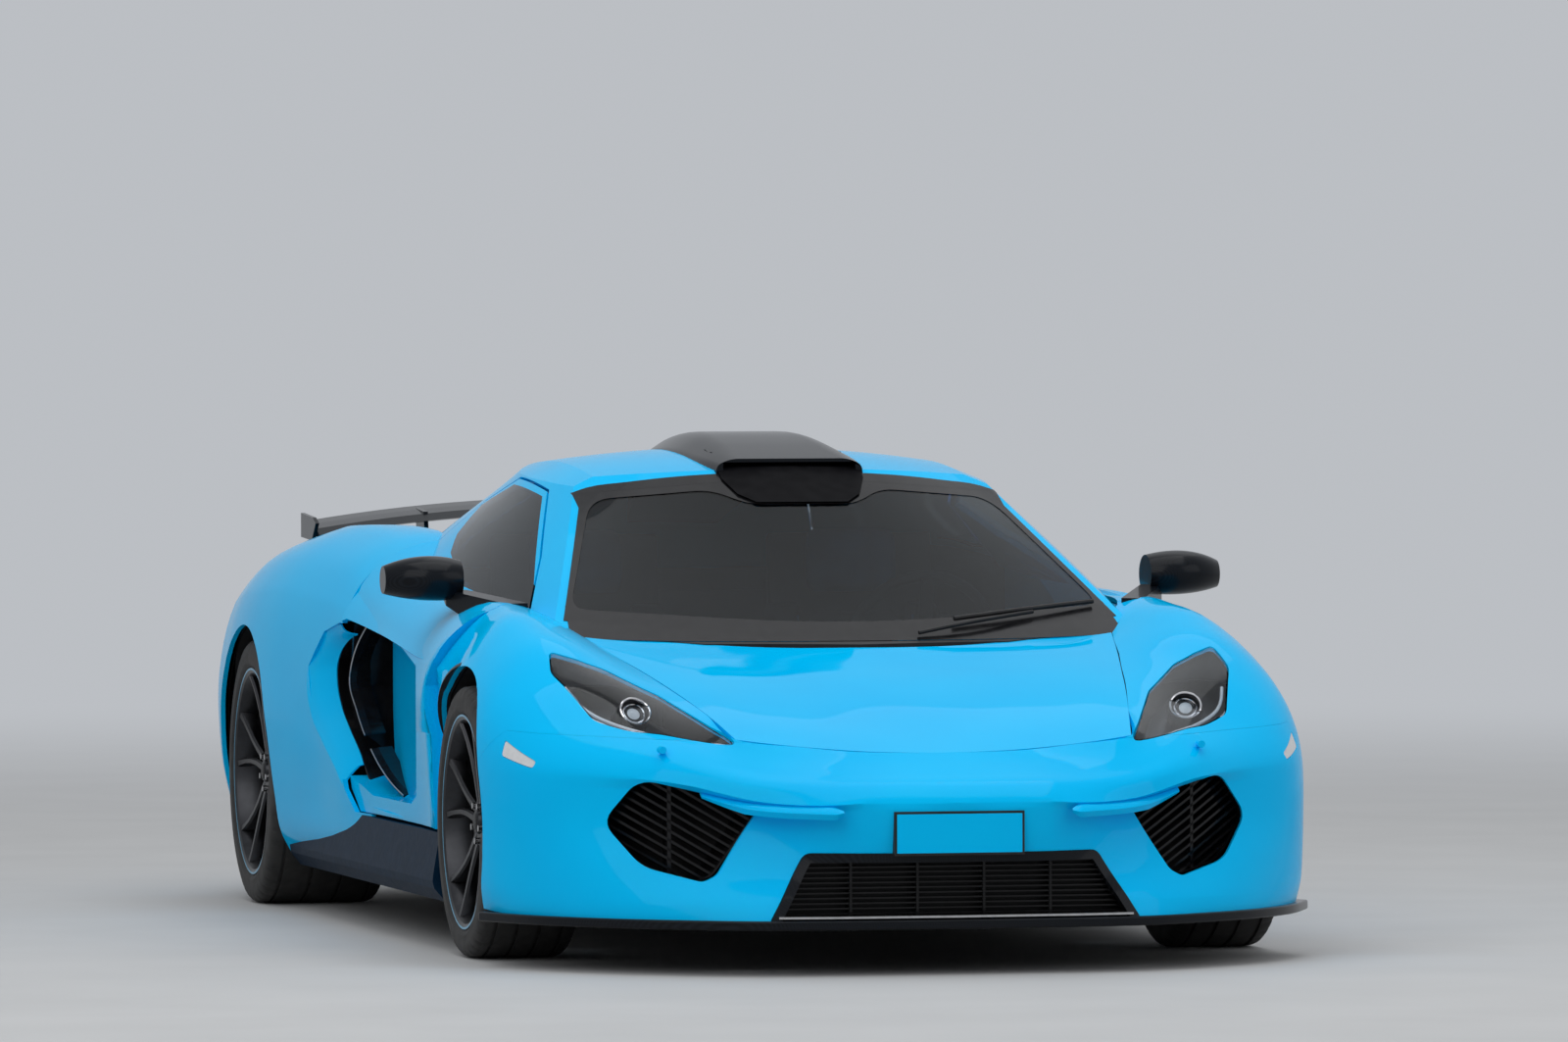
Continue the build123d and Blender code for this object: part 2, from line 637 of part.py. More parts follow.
def rim(wheel, side):
    """Rim barrel, five forked spokes, hub and brake disc."""
    face, rim_r, width = wheel["rim_face_x"], wheel["rim_r"], wheel["tyre_w"] - 12
    barrel = ring_profile(((0, rim_r), (9, rim_r), (12, rim_r - 14), (70, rim_r - 30), (width - 60, rim_r - 30),
                           (width - 12, rim_r - 14), (width - 9, rim_r), (width, rim_r), (width, rim_r - 20),
                           (width - 50, rim_r - 38), (70, rim_r - 38), (6, rim_r - 18), (0, rim_r - 8)), side, face)
    hub = ring_profile(((52, 0), (52, 62), (128, 70), (128, 0)), side, face)
    disc = ring_profile(((84, 60), (84, wheel["disc_r"]), (114, wheel["disc_r"]), (114, 60)), side, face)
    reach = rim_r - 26
    with BuildPart() as spokes:
        with BuildSketch(Plane.YZ.offset(side * (face - 62))):
            with PolarLocations(0, SPOKES, start_angle=90):
                for fork in (1, -1):
                    with BuildLine():
                        Polyline((40, fork * 2), (40, fork * 30), (110, fork * 34), (reach, fork * 78),
                                 (reach, fork * 46), (118, fork * 12), close=True)
                    make_face()
                with Locations((75, 0)):
                    Rectangle(70, 40)
        extrude(amount=side * 34)
    trim = ring_profile(((-5, 0), (-5, rim_r - 24), (200, rim_r - 24), (200, 0)), side, face)
    return on_axle(fuse(barrel, hub, disc, common(spokes.part, trim)), wheel)


def tyre(wheel, side):
    """Low-profile tyre with three grooves."""
    rim_r, tyre_r, width = wheel["rim_r"], wheel["tyre_r"], wheel["tyre_w"]
    low = rim_r - 13.5
    out = -6
    grooves = []
    for share in (0.3, 0.5, 0.7):
        middle = out + share * width
        grooves += [(middle - 5, tyre_r), (middle - 5, tyre_r - 7), (middle + 5, tyre_r - 7), (middle + 5, tyre_r)]
    side_wall = [(12.5, low), (9.5, rim_r + 0.5), (out + 3, rim_r + 2), (out, rim_r + 16), (out + 3, tyre_r - 16),
                 (out + 20, tyre_r - 2), (out + 30, tyre_r)]
    inner = [(width - 12 - depth + 0, radius) for depth, radius in reversed(side_wall)]
    return on_axle(ring_profile(side_wall + grooves + inner, side, wheel["rim_face_x"]), wheel)


def upright(wheel, side):
    """Upright, bearing housing and brake caliper."""
    face = wheel["rim_face_x"]
    king_x = face - KINGPIN_IN
    bearing = ring_profile(((134, 0), (134, 50), (215, 50), (215, 0)), side, face)
    x_pair = sorted((side * (face - 179), side * (face - 134)))
    post = box(x_pair, (-42, 42), (-112, 112))
    caliper = ring_profile(((68, 112), (68, 212), (140, 212), (140, 112)), side, face)
    slot = ring_profile(((77, 0), (77, wheel["disc_r"] + 7), (121, wheel["disc_r"] + 7), (121, 0)), side, face)
    sector = box(sorted((side * (face - 300), side * face)), (70, 260), (-75, 75))
    lug = box(sorted((side * (face - 142), side * (face - 134))), (20, 150), (-50, 50))
    with BuildPart() as bosses:
        with BuildSketch(Plane.XY.offset(-BALL_Z + 13)):
            with Locations((side * king_x, 0)):
                Circle(14)
        extrude(amount=2 * BALL_Z - 26)
    return on_axle(fuse(bearing, post, bosses.part, lug, cut(common(caliper, sector), slot)), wheel)


def wishbones(wheel, side, gap):
    """Upper and lower arms from the frame to the ball joints."""
    king_x = wheel["rim_face_x"] - KINGPIN_IN
    root_x = ARCH_INNER[wheel["end"]] - 8
    arms = []
    for level in (1, -1):
        z = level * BALL_Z + (0 if level > 0 else -20)
        with BuildPart() as arm:
            with BuildSketch(Plane.XY.offset(z)):
                with BuildLine():
                    Polyline(*[(side * x, y) for x, y in ((root_x, -120), (king_x - 14, -16), (king_x - 14, 16),
                                                         (root_x, 120), (root_x, 85), (king_x - 60, 0),
                                                         (root_x, -85))], close=True)
                make_face()
                with Locations((side * king_x, 0)):
                    Circle(22)
            extrude(amount=20)
            with BuildSketch(Plane.XY.offset(z + (0 if level > 0 else 20))):
                with Locations((side * king_x, 0)):
                    Circle(gap)
            extrude(amount=-level * 30)
        arms.append(on_axle(arm.part, wheel))
    return arms


front_wheel, rear_wheel = rows(WHEEL_COLUMNS, WHEELS)
for wheel in (front_wheel, rear_wheel):
    for name, side in SIDES:
        export(rim(wheel, side), f"rim_{wheel['end']}_{name}")
        export(tyre(wheel, side), f"tyre_{wheel['end']}_{name}")

front_arms = []
rear_arms = []
for name, side in SIDES:
    pins = wishbones(front_wheel, side, 6)
    with BuildPart() as bores:
        add(upright(front_wheel, side))
        for level in (1, -1):
            with BuildSketch(Plane.XY.offset(front_wheel["tyre_r"] + level * (BALL_Z - 13))):
                with Locations((side * (front_wheel["rim_face_x"] - KINGPIN_IN), FRONT_AXLE_Y)):
                    Circle(6.4)
            extrude(amount=-level * 20, mode=Mode.SUBTRACT)
    export(bores.part, f"knuckle_{name}")
    front_arms += pins
    rear_arms += [*wishbones(rear_wheel, side, 10), upright(rear_wheel, side)]

hub_f = front_wheel["tyre_r"]
hub_r = rear_wheel["tyre_r"]
front_frame = [box((-555, 555), (FRONT_AXLE_Y - 125, FRONT_AXLE_Y + 125), (hub_f - 180, 238)),
               *pair((500, 555), (FRONT_AXLE_Y - 125, FRONT_AXLE_Y + 125), (238, hub_f + 178))]
export(cut(fuse(*front_frame, *front_arms), chassis, tub_outer), "front_suspension")
rear_frame = [box((-615, 615), (REAR_AXLE_Y - 125, REAR_AXLE_Y + 125), (hub_r - 180, 195)),
              *pair((595, 615), (REAR_AXLE_Y - 125, REAR_AXLE_Y + 125), (195, hub_r + 178))]
export(cut(fuse(*rear_frame, *rear_arms), chassis), "rear_suspension")

# ---------------------------------------------------------------- cabin
seats = [side_prism(SEAT_PROFILE, side * (SEAT_X - 240), side * (SEAT_X + 240)) for _, side in SIDES]
export(fuse(*seats), "seats")
dash = fuse(side_prism(DASH_PROFILE, -680, 680), box((-105, 105), (-640, 420), (150, 470)),
            box((-105, 105), (-640, -520), (150, 600)))
export(cut(common(dash, hollow), *door_holes), "dashboard")

column_plane = Plane(origin=(STEERING_X, STEERING_Y, STEERING_Z), x_dir=(1, 0, 0),
                     z_dir=(0, math.cos(math.radians(STEERING_TILT)), math.sin(math.radians(STEERING_TILT))))
with BuildPart() as steering:
    with BuildSketch(column_plane):
        Circle(62)
        with PolarLocations(100, 3, start_angle=-90):
            Rectangle(160, 34)
    extrude(amount=-18)
    with BuildSketch(Plane(origin=column_plane.origin, x_dir=column_plane.x_dir,
                           z_dir=column_plane.y_dir)) as grip:
        with Locations((178, -9)):
            Circle(14)
    revolve(axis=Axis(column_plane.origin, column_plane.z_dir))
    with BuildSketch(column_plane.offset(-18)):
        Circle(30)
    extrude(amount=-60)
export(steering.part, "steering_wheel")

# ---------------------------------------------------------------- mirrors
for name, side in SIDES:
    with BuildPart() as housing:
        with BuildSketch(Plane.YZ.offset(side * 868)):
            with Locations((-620, 893)):
                Ellipse(62, 48)
        with BuildSketch(Plane.YZ.offset(side * 960)):
            with Locations((-628, 897)):
                Ellipse(72, 54)
        with BuildSketch(Plane.YZ.offset(side * 1055)):
            with Locations((-600, 893)):
                Ellipse(40, 34)
        loft()
    arm = plan_prism([(side * x, y) for x, y in ((745, -860), (800, -870), (905, -640), (905, -600), (870, -600))],
                     780, 868)
    export(cut(fuse(housing.part, common(arm, side_prism(((-900, 780), (-900, 835), (-640, 868), (-590, 868),
                                                         (-590, 850), (-760, 780)), side * 700, side * 1000))),
               full), f"mirror_{name}")
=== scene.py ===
"""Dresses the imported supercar: painted skin, glass, lamps, wheels and cabin.

Metres, +Z up, the car faces -Y and its left side is +X, as in the frame.
"""
import math

import bmesh
import bpy
import numpy as np
from mathutils import Matrix, Vector


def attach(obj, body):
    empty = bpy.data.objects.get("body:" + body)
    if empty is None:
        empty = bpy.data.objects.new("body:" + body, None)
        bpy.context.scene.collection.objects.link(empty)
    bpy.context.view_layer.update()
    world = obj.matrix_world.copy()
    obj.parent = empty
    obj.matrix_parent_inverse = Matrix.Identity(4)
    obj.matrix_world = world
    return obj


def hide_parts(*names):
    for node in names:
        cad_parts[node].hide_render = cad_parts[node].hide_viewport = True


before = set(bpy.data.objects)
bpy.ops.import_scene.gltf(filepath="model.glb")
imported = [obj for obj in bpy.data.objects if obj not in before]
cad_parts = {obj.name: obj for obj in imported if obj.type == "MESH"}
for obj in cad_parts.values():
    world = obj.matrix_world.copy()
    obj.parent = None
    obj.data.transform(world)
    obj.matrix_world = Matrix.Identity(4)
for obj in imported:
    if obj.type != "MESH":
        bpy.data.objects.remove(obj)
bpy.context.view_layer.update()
SIDES = (("left", 1), ("right", -1))


def link(obj):
    """Put an object in the scene."""
    bpy.context.scene.collection.objects.link(obj)
    return obj


# ---------------------------------------------------------------- camera and studio
SENSOR_W = 36.0
PHOTO_W = 1600
FOCAL_PX = 11525.27
CAMERA_AT = (-6.1739, -27.7945, 1.5268)
CAMERA_YAW = 0.2216
CAMERA_PITCH = -0.0178
CAMERA_ROLL = -0.0029


def make_camera():
    """Long lens from low down in front of the car's right corner."""
    data = bpy.data.cameras.new("camera")
    data.sensor_width = SENSOR_W
    data.lens = FOCAL_PX / PHOTO_W * SENSOR_W
    data.clip_start = 1.0
    data.clip_end = 200.0
    cam = link(bpy.data.objects.new("camera", data))
    cp = math.cos(CAMERA_PITCH)
    fwd = Vector((math.sin(CAMERA_YAW) * cp, math.cos(CAMERA_YAW) * cp, math.sin(CAMERA_PITCH)))
    right = Vector((math.cos(CAMERA_YAW), -math.sin(CAMERA_YAW), 0))
    up = right.cross(fwd)
    cr, sr = math.cos(CAMERA_ROLL), math.sin(CAMERA_ROLL)
    right2 = cr * right + sr * up
    up2 = cr * up - sr * right
    turn = Matrix((right2, up2, -fwd)).transposed()
    cam.matrix_world = Matrix.Translation(CAMERA_AT) @ turn.to_4x4()
    bpy.context.scene.camera = cam


# ---------------------------------------------------------------- materials
MATS = {}
# Colour, roughness, scale of the grain and specular level
PLASTICS = {
    "skirt": ((0.001, 0.012, 0.03), 0.4, 400, 0.02), "gloss_black": ((0.006, 0.006, 0.007), 0.16, 400, 0.22),
    "satin_black": ((0.014, 0.014, 0.015), 0.42, 500, 0.22), "wheel_line": ((0.12, 0.32, 0.48), 0.3, 300, 0.22),
    # The last entry on the next line is a dull near-black that is painted shade, for the panel gaps and the roof
    # scoop's mouth
    "frit": ((0.004, 0.004, 0.005), 0.2, 300, 0.22), "painted_shade": ((0.002, 0.002, 0.003), 0.6, 300, 0.05),
    "lamp_dark": ((0.012, 0.013, 0.016), 0.3, 200, 0.22),
}
# Colour and roughness
METALS = {
    "wheel_black": ((0.045, 0.046, 0.05), 0.32), "metal": ((0.46, 0.47, 0.49), 0.38),
    "steel": ((0.55, 0.55, 0.56), 0.22), "chrome": ((0.8, 0.8, 0.82), 0.12), "cast": ((0.28, 0.28, 0.29), 0.55),
    "mirror": ((0.85, 0.86, 0.88), 0.05),
}
GLASSES = {"glass": (0.2, 0.25, 0.28), "lens": (0.8, 0.84, 0.87)}
LEATHERS = {"leather": (0.016, 0.016, 0.018), "leather_blue": (0.0, 0.13, 0.3)}
# Colour and strength of the glow
LAMPS = {
    "lamp_clear": ((0.75, 0.8, 0.85), 0.05), "lamp_red": ((0.5, 0.01, 0.01), 0.15),
    "marker": ((0.62, 0.64, 0.66), 0.05),
}


def wire(tree, node, inputs):
    """Set a node's inputs: a number or colour is written in, a socket is linked."""
    for key, value in inputs.items():
        if isinstance(value, bpy.types.NodeSocket):
            tree.links.new(value, node.inputs[key])
        else:
            node.inputs[key].default_value = value


def add_node(tree, kind, inputs=None, **settings):
    """New shader node with its settings and inputs; returns its outputs."""
    node = tree.nodes.new("ShaderNode" + kind)
    for key, value in settings.items():
        setattr(node, key, value)
    wire(tree, node, inputs or {})
    return node.outputs


def new_material(name):
    """Named node material; returns its tree and shader."""
    MATS[name] = bpy.data.materials.new(name)
    MATS[name].use_nodes = True
    tree = MATS[name].node_tree
    return tree, tree.nodes["Principled BSDF"]


def bump(tree, height, strength, distance):
    """Normal from a height socket."""
    return add_node(tree, "Bump", {"Strength": strength, "Distance": distance, "Height": height})["Normal"]


def noise(tree, scale, detail=3.0):
    """Noise in object space."""
    spot = add_node(tree, "TexCoord")["Object"]
    return add_node(tree, "TexNoise", {"Scale": scale, "Detail": detail, "Vector": spot})["Fac"]


def ramp(tree, fac, stops):
    """Colour ramp from (place, colour) stops."""
    node = tree.nodes.new("ShaderNodeValToRGB")
    while len(node.color_ramp.elements) < len(stops):
        node.color_ramp.elements.new(0.5)
    for element, (place, color) in zip(node.color_ramp.elements, stops):
        element.position = place
        element.color = (*color, 1)
    tree.links.new(fac, node.inputs["Fac"])
    return node.outputs["Color"]


def mottle(tree, scale, first, second, top=0.7, detail=3.0):
    """Colour that wanders between two colours."""
    return ramp(tree, noise(tree, scale, detail), ((0.3, first), (top, second)))


def wander(tree, middle, swing, scale):
    """Roughness that wanders a little about its middle."""
    return add_node(tree, "MapRange", {"To Min": middle - swing, "To Max": middle + swing,
                                       "Value": noise(tree, scale)})["Result"]


def paint_material():
    """Solid sky blue under a deep clear coat, with faint orange peel."""
    tree, shader = new_material("paint")
    wire(tree, shader, {
        "Base Color": mottle(tree, 3.0, (0.0, 0.49, 0.94), (0.0, 0.52, 0.97)), "Specular IOR Level": 0.0,
        "Roughness": wander(tree, 0.38, 0.04, 40), "Coat Weight": 0.7, "Coat Roughness": 0.03, "Coat IOR": 1.2,
        "Normal": bump(tree, noise(tree, 260), 0.02, 0.0004)})


def carbon_material():
    """Black twill carbon weave under lacquer."""
    tree, shader = new_material("carbon")
    spot = add_node(tree, "TexCoord")["Object"]
    weave = {}
    for i, angle in enumerate((45, -45)):
        turn = add_node(tree, "Mapping", {"Rotation": (math.radians(angle),) * 3, "Vector": spot})["Vector"]
        weave[i] = add_node(tree, "TexWave", {"Scale": 110, "Distortion": 0.0, "Vector": turn})["Fac"]
    twill = add_node(tree, "Math", weave, operation="MULTIPLY")["Value"]
    wire(tree, shader, {
        "Base Color": ramp(tree, twill, ((0.1, (0.003, 0.004, 0.006)), (0.8, (0.011, 0.014, 0.019)))),
        "Roughness": 0.3, "Specular IOR Level": 0.08, "Coat Weight": 0.45, "Coat IOR": 1.24,
        "Coat Roughness": 0.05, "Normal": bump(tree, twill, 0.08, 0.0004)})


def plastic_material(name, color, rough, grain, specular):
    """Moulded plastic with a fine grain."""
    tree, shader = new_material(name)
    light = tuple(min(1.0, 1.35 * c + 0.004) for c in color)
    wire(tree, shader, {
        "Base Color": mottle(tree, 30, color, light, 0.75), "Specular IOR Level": specular,
        "Roughness": wander(tree, rough, 0.06, 60), "Normal": bump(tree, noise(tree, grain, 2.0), 0.12, 0.0006)})


def metal_material(name, color, rough):
    """Metal with a brushed variation."""
    tree, shader = new_material(name)
    wire(tree, shader, {"Base Color": mottle(tree, 45, tuple(0.8 * c for c in color), color), "Metallic": 1.0,
                        "Roughness": wander(tree, rough, 0.05, 90)})


def glass_material(name, tint):
    """Thin tinted pane: mostly see-through, with a clear reflection."""
    tree, shader = new_material(name)
    wire(tree, shader, {"Base Color": mottle(tree, 4, tint, tuple(0.96 * c for c in tint)), "Roughness": 0.0,
                        "Transmission Weight": 1.0, "IOR": 1.2})


def rubber_material():
    """Tyre rubber."""
    tree, shader = new_material("rubber")
    wire(tree, shader, {
        "Base Color": mottle(tree, 25, (0.012, 0.012, 0.012), (0.03, 0.029, 0.028), 0.75, 5),
        "Roughness": wander(tree, 0.71, 0.09, 35), "Normal": bump(tree, noise(tree, 300, 2), 0.2, 0.0006)})


def leather_material(name, color):
    """Leather with a pebbled grain."""
    tree, shader = new_material(name)
    spot = add_node(tree, "TexCoord")["Object"]
    cells = add_node(tree, "TexVoronoi", {"Scale": 420, "Vector": spot})["Distance"]
    wire(tree, shader, {
        "Base Color": mottle(tree, 12, color, tuple(1.6 * c + 0.004 for c in color)),
        "Roughness": wander(tree, 0.5, 0.08, 50), "Normal": bump(tree, cells, 0.25, 0.0006)})


def lamp_material(name, color, strength):
    """Faintly glowing lamp element."""
    tree, shader = new_material(name)
    wire(tree, shader, {
        "Base Color": mottle(tree, 80, color, tuple(0.9 * c for c in color)), "Roughness": 0.15,
        "Coat Weight": 0.6, "Emission Color": (*color, 1), "Emission Strength": strength})


def make_materials():
    """Every material by its plain name."""
    paint_material()
    carbon_material()
    rubber_material()
    for name, values in PLASTICS.items():
        plastic_material(name, *values)
    for name, values in METALS.items():
        metal_material(name, *values)
    for name, tint in GLASSES.items():
        glass_material(name, tint)
    for name, color in LEATHERS.items():
        leather_material(name, color)
    for name, values in LAMPS.items():
        lamp_material(name, *values)


# ---------------------------------------------------------------- mesh tools
def mesh_object(name, verts, faces, mat=None):
    """Object from plain lists."""
    mesh = bpy.data.meshes.new(name)
    mesh.from_pydata([tuple(v) for v in verts], [], [tuple(f) for f in faces])
    mesh.validate()
    obj = link(bpy.data.objects.new(name, mesh))
    if mat:
        mesh.materials.append(MATS[mat])
    return obj


def smooth(obj, angle=32):
    """Smooth shading that keeps edges sharper than the angle."""
    obj.data.polygons.foreach_set("use_smooth", [True] * len(obj.data.polygons))
    obj.data.set_sharp_from_angle(angle=math.radians(angle))
    return obj


def tangents(points, crease):
    """Chord lengths and the tangents into and out of each point along axis 0."""
    step = np.linalg.norm(np.diff(points, axis=0), axis=2)[..., None]
    step = np.maximum(step, 1e-6)
    secant = np.diff(points, axis=0) / step
    middle = np.empty_like(points)
    middle[1:-1] = (step[:-1] * secant[1:] + step[1:] * secant[:-1]) / (step[:-1] + step[1:])
    middle[0] = secant[0] if len(points) < 3 else 1.5 * secant[0] - 0.5 * middle[1]
    middle[-1] = secant[-1] if len(points) < 3 else 1.5 * secant[-1] - 0.5 * middle[-2]
    into = middle.copy()
    out = middle.copy()
    for place, weight in (crease or {}).items():
        weight = np.broadcast_to(np.asarray(weight, float).reshape(-1, 1), (points.shape[1], 1))
        if place < len(points) - 1:
            out[place] = (1 - weight) * middle[place] + weight * secant[place]
        if place > 0:
            into[place] = (1 - weight) * middle[place] + weight * secant[place - 1]
    return step, into, out


def through(points, parts, crease=None):
    """Smooth curve through the points along axis 0; a crease (place: weight) breaks its direction."""
    points = np.asarray(points, float)
    step, into, out = tangents(points, crease)
    counts = parts if hasattr(parts, "__len__") else [parts] * (len(points) - 1)
    rows = []
    for i in range(len(points) - 1):
        for t in np.arange(counts[i]) / counts[i]:
            h00 = 2 * t ** 3 - 3 * t ** 2 + 1
            h10 = t ** 3 - 2 * t ** 2 + t
            h01 = -2 * t ** 3 + 3 * t ** 2
            h11 = t ** 3 - t ** 2
            rows.append(h00 * points[i] + h10 * step[i] * out[i] + h01 * points[i + 1] + h11 * step[i] * into[i + 1])
    rows.append(points[-1])
    return np.array(rows)


def smooth_line(points, parts):
    """Smooth curve through single points."""
    return through(np.array(points)[:, None, :], parts)[:, 0, :]


def net(table, row_parts, column_parts, row_crease=None, mirror_first=False):
    """Dense grid through a table of points [row][column]; a mirrored one runs level across its first column."""
    grid = np.asarray(table, float)
    parts = [column_parts] * (grid.shape[1] - 1)
    if mirror_first:
        grid = np.concatenate((grid[:, 1:2] * np.array((-1, 1, 1)), grid), axis=1)
        parts = [1] + parts
    dense = through(np.swapaxes(through(grid, row_parts, row_crease), 0, 1), parts)
    return np.swapaxes(dense[1:] if mirror_first else dense, 0, 1)


def grid_normals(grid):
    """Unit normals of a grid."""
    du = np.gradient(grid, axis=1)
    dv = np.gradient(grid, axis=0)
    normal = np.cross(du, dv)
    return normal / np.maximum(np.linalg.norm(normal, axis=2, keepdims=True), 1e-9)


def slab(name, grid, thick, mat=None, flip=False):
    """Closed solid between a grid and its copy moved inwards by the thickness."""
    rows, cols = grid.shape[:2]
    normal = grid_normals(grid) * (-1 if flip else 1)
    inner = grid - normal * thick
    verts = np.concatenate((grid.reshape(-1, 3), inner.reshape(-1, 3)))
    index = np.arange(rows * cols).reshape(rows, cols)
    shift = rows * cols
    a, b, c, d = index[:-1, :-1], index[:-1, 1:], index[1:, 1:], index[1:, :-1]
    outer = np.stack((a, b, c, d), axis=-1).reshape(-1, 4)
    faces = np.concatenate((outer, (outer + shift)[:, ::-1]))
    ring = list(index[0, :]) + list(index[1:, -1]) + list(index[-1, -2::-1]) + list(index[-2:0:-1, 0])
    rim = [(ring[i], ring[i] + shift, ring[(i + 1) % len(ring)] + shift, ring[(i + 1) % len(ring)])
           for i in range(len(ring))]
    faces = [tuple(f) for f in faces] + rim
    if flip:
        faces = [f[::-1] for f in faces]
    obj = mesh_object(name, verts, faces, mat)
    fix_normals(obj)
    return obj


def lifted(name, grid, lift, thick, mat, flip=False):
    """Slab on a grid moved out by a lift (in, if negative)."""
    return slab(name, grid + lift * grid_normals(grid), thick, mat, flip)


def fix_normals(obj):
    """Outward normals on a closed mesh."""
    work = bmesh.new()
    work.from_mesh(obj.data)
    bmesh.ops.recalc_face_normals(work, faces=work.faces)
    work.to_mesh(obj.data)
    work.free()


def closed_prism(count, verts):
    """Closed prism from the points of its low end and then of its high end."""
    faces = [tuple(range(count)), tuple(range(2 * count - 1, count - 1, -1))]
    faces += [(i, i + count, (i + 1) % count + count, (i + 1) % count) for i in range(count)]
    obj = mesh_object("cutter", verts, faces)
    fix_normals(obj)
    return obj


def prism(outline, axis, low, high):
    """Closed prism of a 2-D outline along an axis (0 X, 1 Y, 2 Z)."""
    verts = []
    for level in (low, high):
        for a, b in outline:
            point = [a, b]
            point.insert(axis, level)
            verts.append(point)
    return closed_prism(len(outline), verts)


def side_prism(outline, side, near, far=1.3):
    """Prism of a side-view outline between two distances from the car's middle, on one side."""
    return prism(outline, 0, *sorted((side * near, side * far)))


def carve(obj, cutters, operation="DIFFERENCE"):
    """Boolean with closed cutters, applied; the cutters stay for the caller to drop."""
    for cutter in cutters:
        mod = obj.modifiers.new("cut", "BOOLEAN")
        mod.operation = operation
        mod.solver = "MANIFOLD"
        mod.object = cutter
        deps = bpy.context.evaluated_depsgraph_get()
        mesh = bpy.data.meshes.new_from_object(obj.evaluated_get(deps))
        obj.modifiers.clear()
        old = obj.data
        obj.data = mesh
        bpy.data.meshes.remove(old)
        # Cut faces get the first material, not the cutter's empty slot
        empty = [i for i, mat in enumerate(mesh.materials) if mat is None and i]
        for face in mesh.polygons:
            if face.material_index in empty:
                face.material_index = 0
        for index in reversed(empty):
            mesh.materials.pop(index=index)
    return obj


def drop(*objects):
    """Remove helper objects."""
    for obj in objects:
        mesh = obj.data
        bpy.data.objects.remove(obj)
        bpy.data.meshes.remove(mesh)


def duplicate(obj, name):
    """Copy with its own mesh."""
    copy = link(obj.copy())
    copy.data = obj.data.copy()
    copy.name = name
    return copy


def cut_from(source, name, space):
    """Copy of a piece, cut to what lies inside a closed space."""
    copy = duplicate(source, name)
    return carve(copy, [space], "INTERSECT")


def node_copy(node, name, mat, shift):
    """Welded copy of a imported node's surface, moved a little, to lay trim on."""
    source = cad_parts[node]
    copy = link(bpy.data.objects.new(name, source.data.copy()))
    copy.data.transform(Matrix.Translation(shift) @ source.matrix_world)
    work = bmesh.new()
    work.from_mesh(copy.data)
    bmesh.ops.remove_doubles(work, verts=work.verts, dist=2e-5)
    bmesh.ops.recalc_face_normals(work, faces=work.faces)
    work.to_mesh(copy.data)
    work.free()
    return tinted(copy, mat)


def cylinder(axis, centre, radius, low, high, count=96):
    """Closed cylinder along an axis."""
    ring = [(centre[0] + radius * math.cos(2 * math.pi * i / count),
             centre[1] + radius * math.sin(2 * math.pi * i / count)) for i in range(count)]
    return prism(ring, axis, low, high)


def place(obj, body, slot, *nodes):
    """Ride on a body and replace nodes; the slot is not used."""
    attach(obj, body)
    if nodes:
        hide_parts(*nodes)
    return obj


def once(side, node):
    """A node that both sides' pieces replace is named on the left one alone."""
    return (node,) if side > 0 else ()


def merged(name, *parts):
    """One object from several, each with its own material."""
    work = bmesh.new()
    mats = []
    for part in parts:
        mat = part.data.materials[0]
        if mat not in mats:
            mats.append(mat)
        start = len(work.faces)
        work.from_mesh(part.data)
        work.faces.ensure_lookup_table()
        for face in work.faces[start:]:
            face.material_index = mats.index(mat)
    mesh = bpy.data.meshes.new(name)
    work.to_mesh(mesh)
    work.free()
    for mat in mats:
        mesh.materials.append(mat)
    drop(*parts)
    return link(bpy.data.objects.new(name, mesh))


def lathe(name, profile, mat, count=96, dent=None):
    """Closed ring about the X axis from (x, radius) points; dent(i, k) takes off some radius."""
    size = len(profile)
    verts = []
    for k in range(count):
        angle = 2 * math.pi * k / count
        for i, (x, radius) in enumerate(profile):
            r = radius - (dent(i, k) if dent else 0)
            verts.append((x, r * math.sin(angle), r * math.cos(angle)))
    faces = [(k * size + i, k * size + (i + 1) % size, (k + 1) % count * size + (i + 1) % size,
              (k + 1) % count * size + i) for k in range(count) for i in range(size)]
    obj = mesh_object(name, verts, faces, mat)
    fix_normals(obj)
    return obj


def sweep(name, sections, mat):
    """Closed skin through rings of points of equal size."""
    size = len(sections[0])
    verts = [p for section in sections for p in section]
    count = len(sections)
    faces = []
    for a in range(0, (count - 1) * size, size):
        b = a + size
        faces += [(a + i, a + (i + 1) % size, b + (i + 1) % size, b + i) for i in range(size)]
    faces += [tuple(range(size)), tuple(range(count * size - 1, (count - 1) * size - 1, -1))]
    obj = mesh_object(name, verts, faces, mat)
    fix_normals(obj)
    return obj


def tube(name, points, radius, mat, count=10, smooth_parts=4):
    """Round bar along a smooth line."""
    line = smooth_line(points, smooth_parts) if smooth_parts > 1 else points
    sections = []
    for i, point in enumerate(line):
        ahead = Vector(line[min(i + 1, len(line) - 1)] - line[max(i - 1, 0)])
        side = ahead.cross(Vector((0.03, 0.02, 1))).normalized()
        up = side.cross(ahead).normalized()
        sections.append([tuple(Vector(point) + radius * (math.cos(a) * side + math.sin(a) * up))
                         for a in (2 * math.pi * k / count for k in range(count))])
    return smooth(sweep(name, sections, mat), 40)


def block(name, x, y, z, mat):
    """Box between named pairs of limits."""
    obj = prism([(x[0], y[0]), (x[1], y[0]), (x[1], y[1]), (x[0], y[1])], 2, *z)
    obj.name = name
    obj.data.materials.append(MATS[mat])
    return obj


def tinted(obj, mat, name=None):
    """Give a helper solid its material and name."""
    obj.data.materials.clear()
    obj.data.materials.append(MATS[mat])
    if name:
        obj.name = name
    return obj


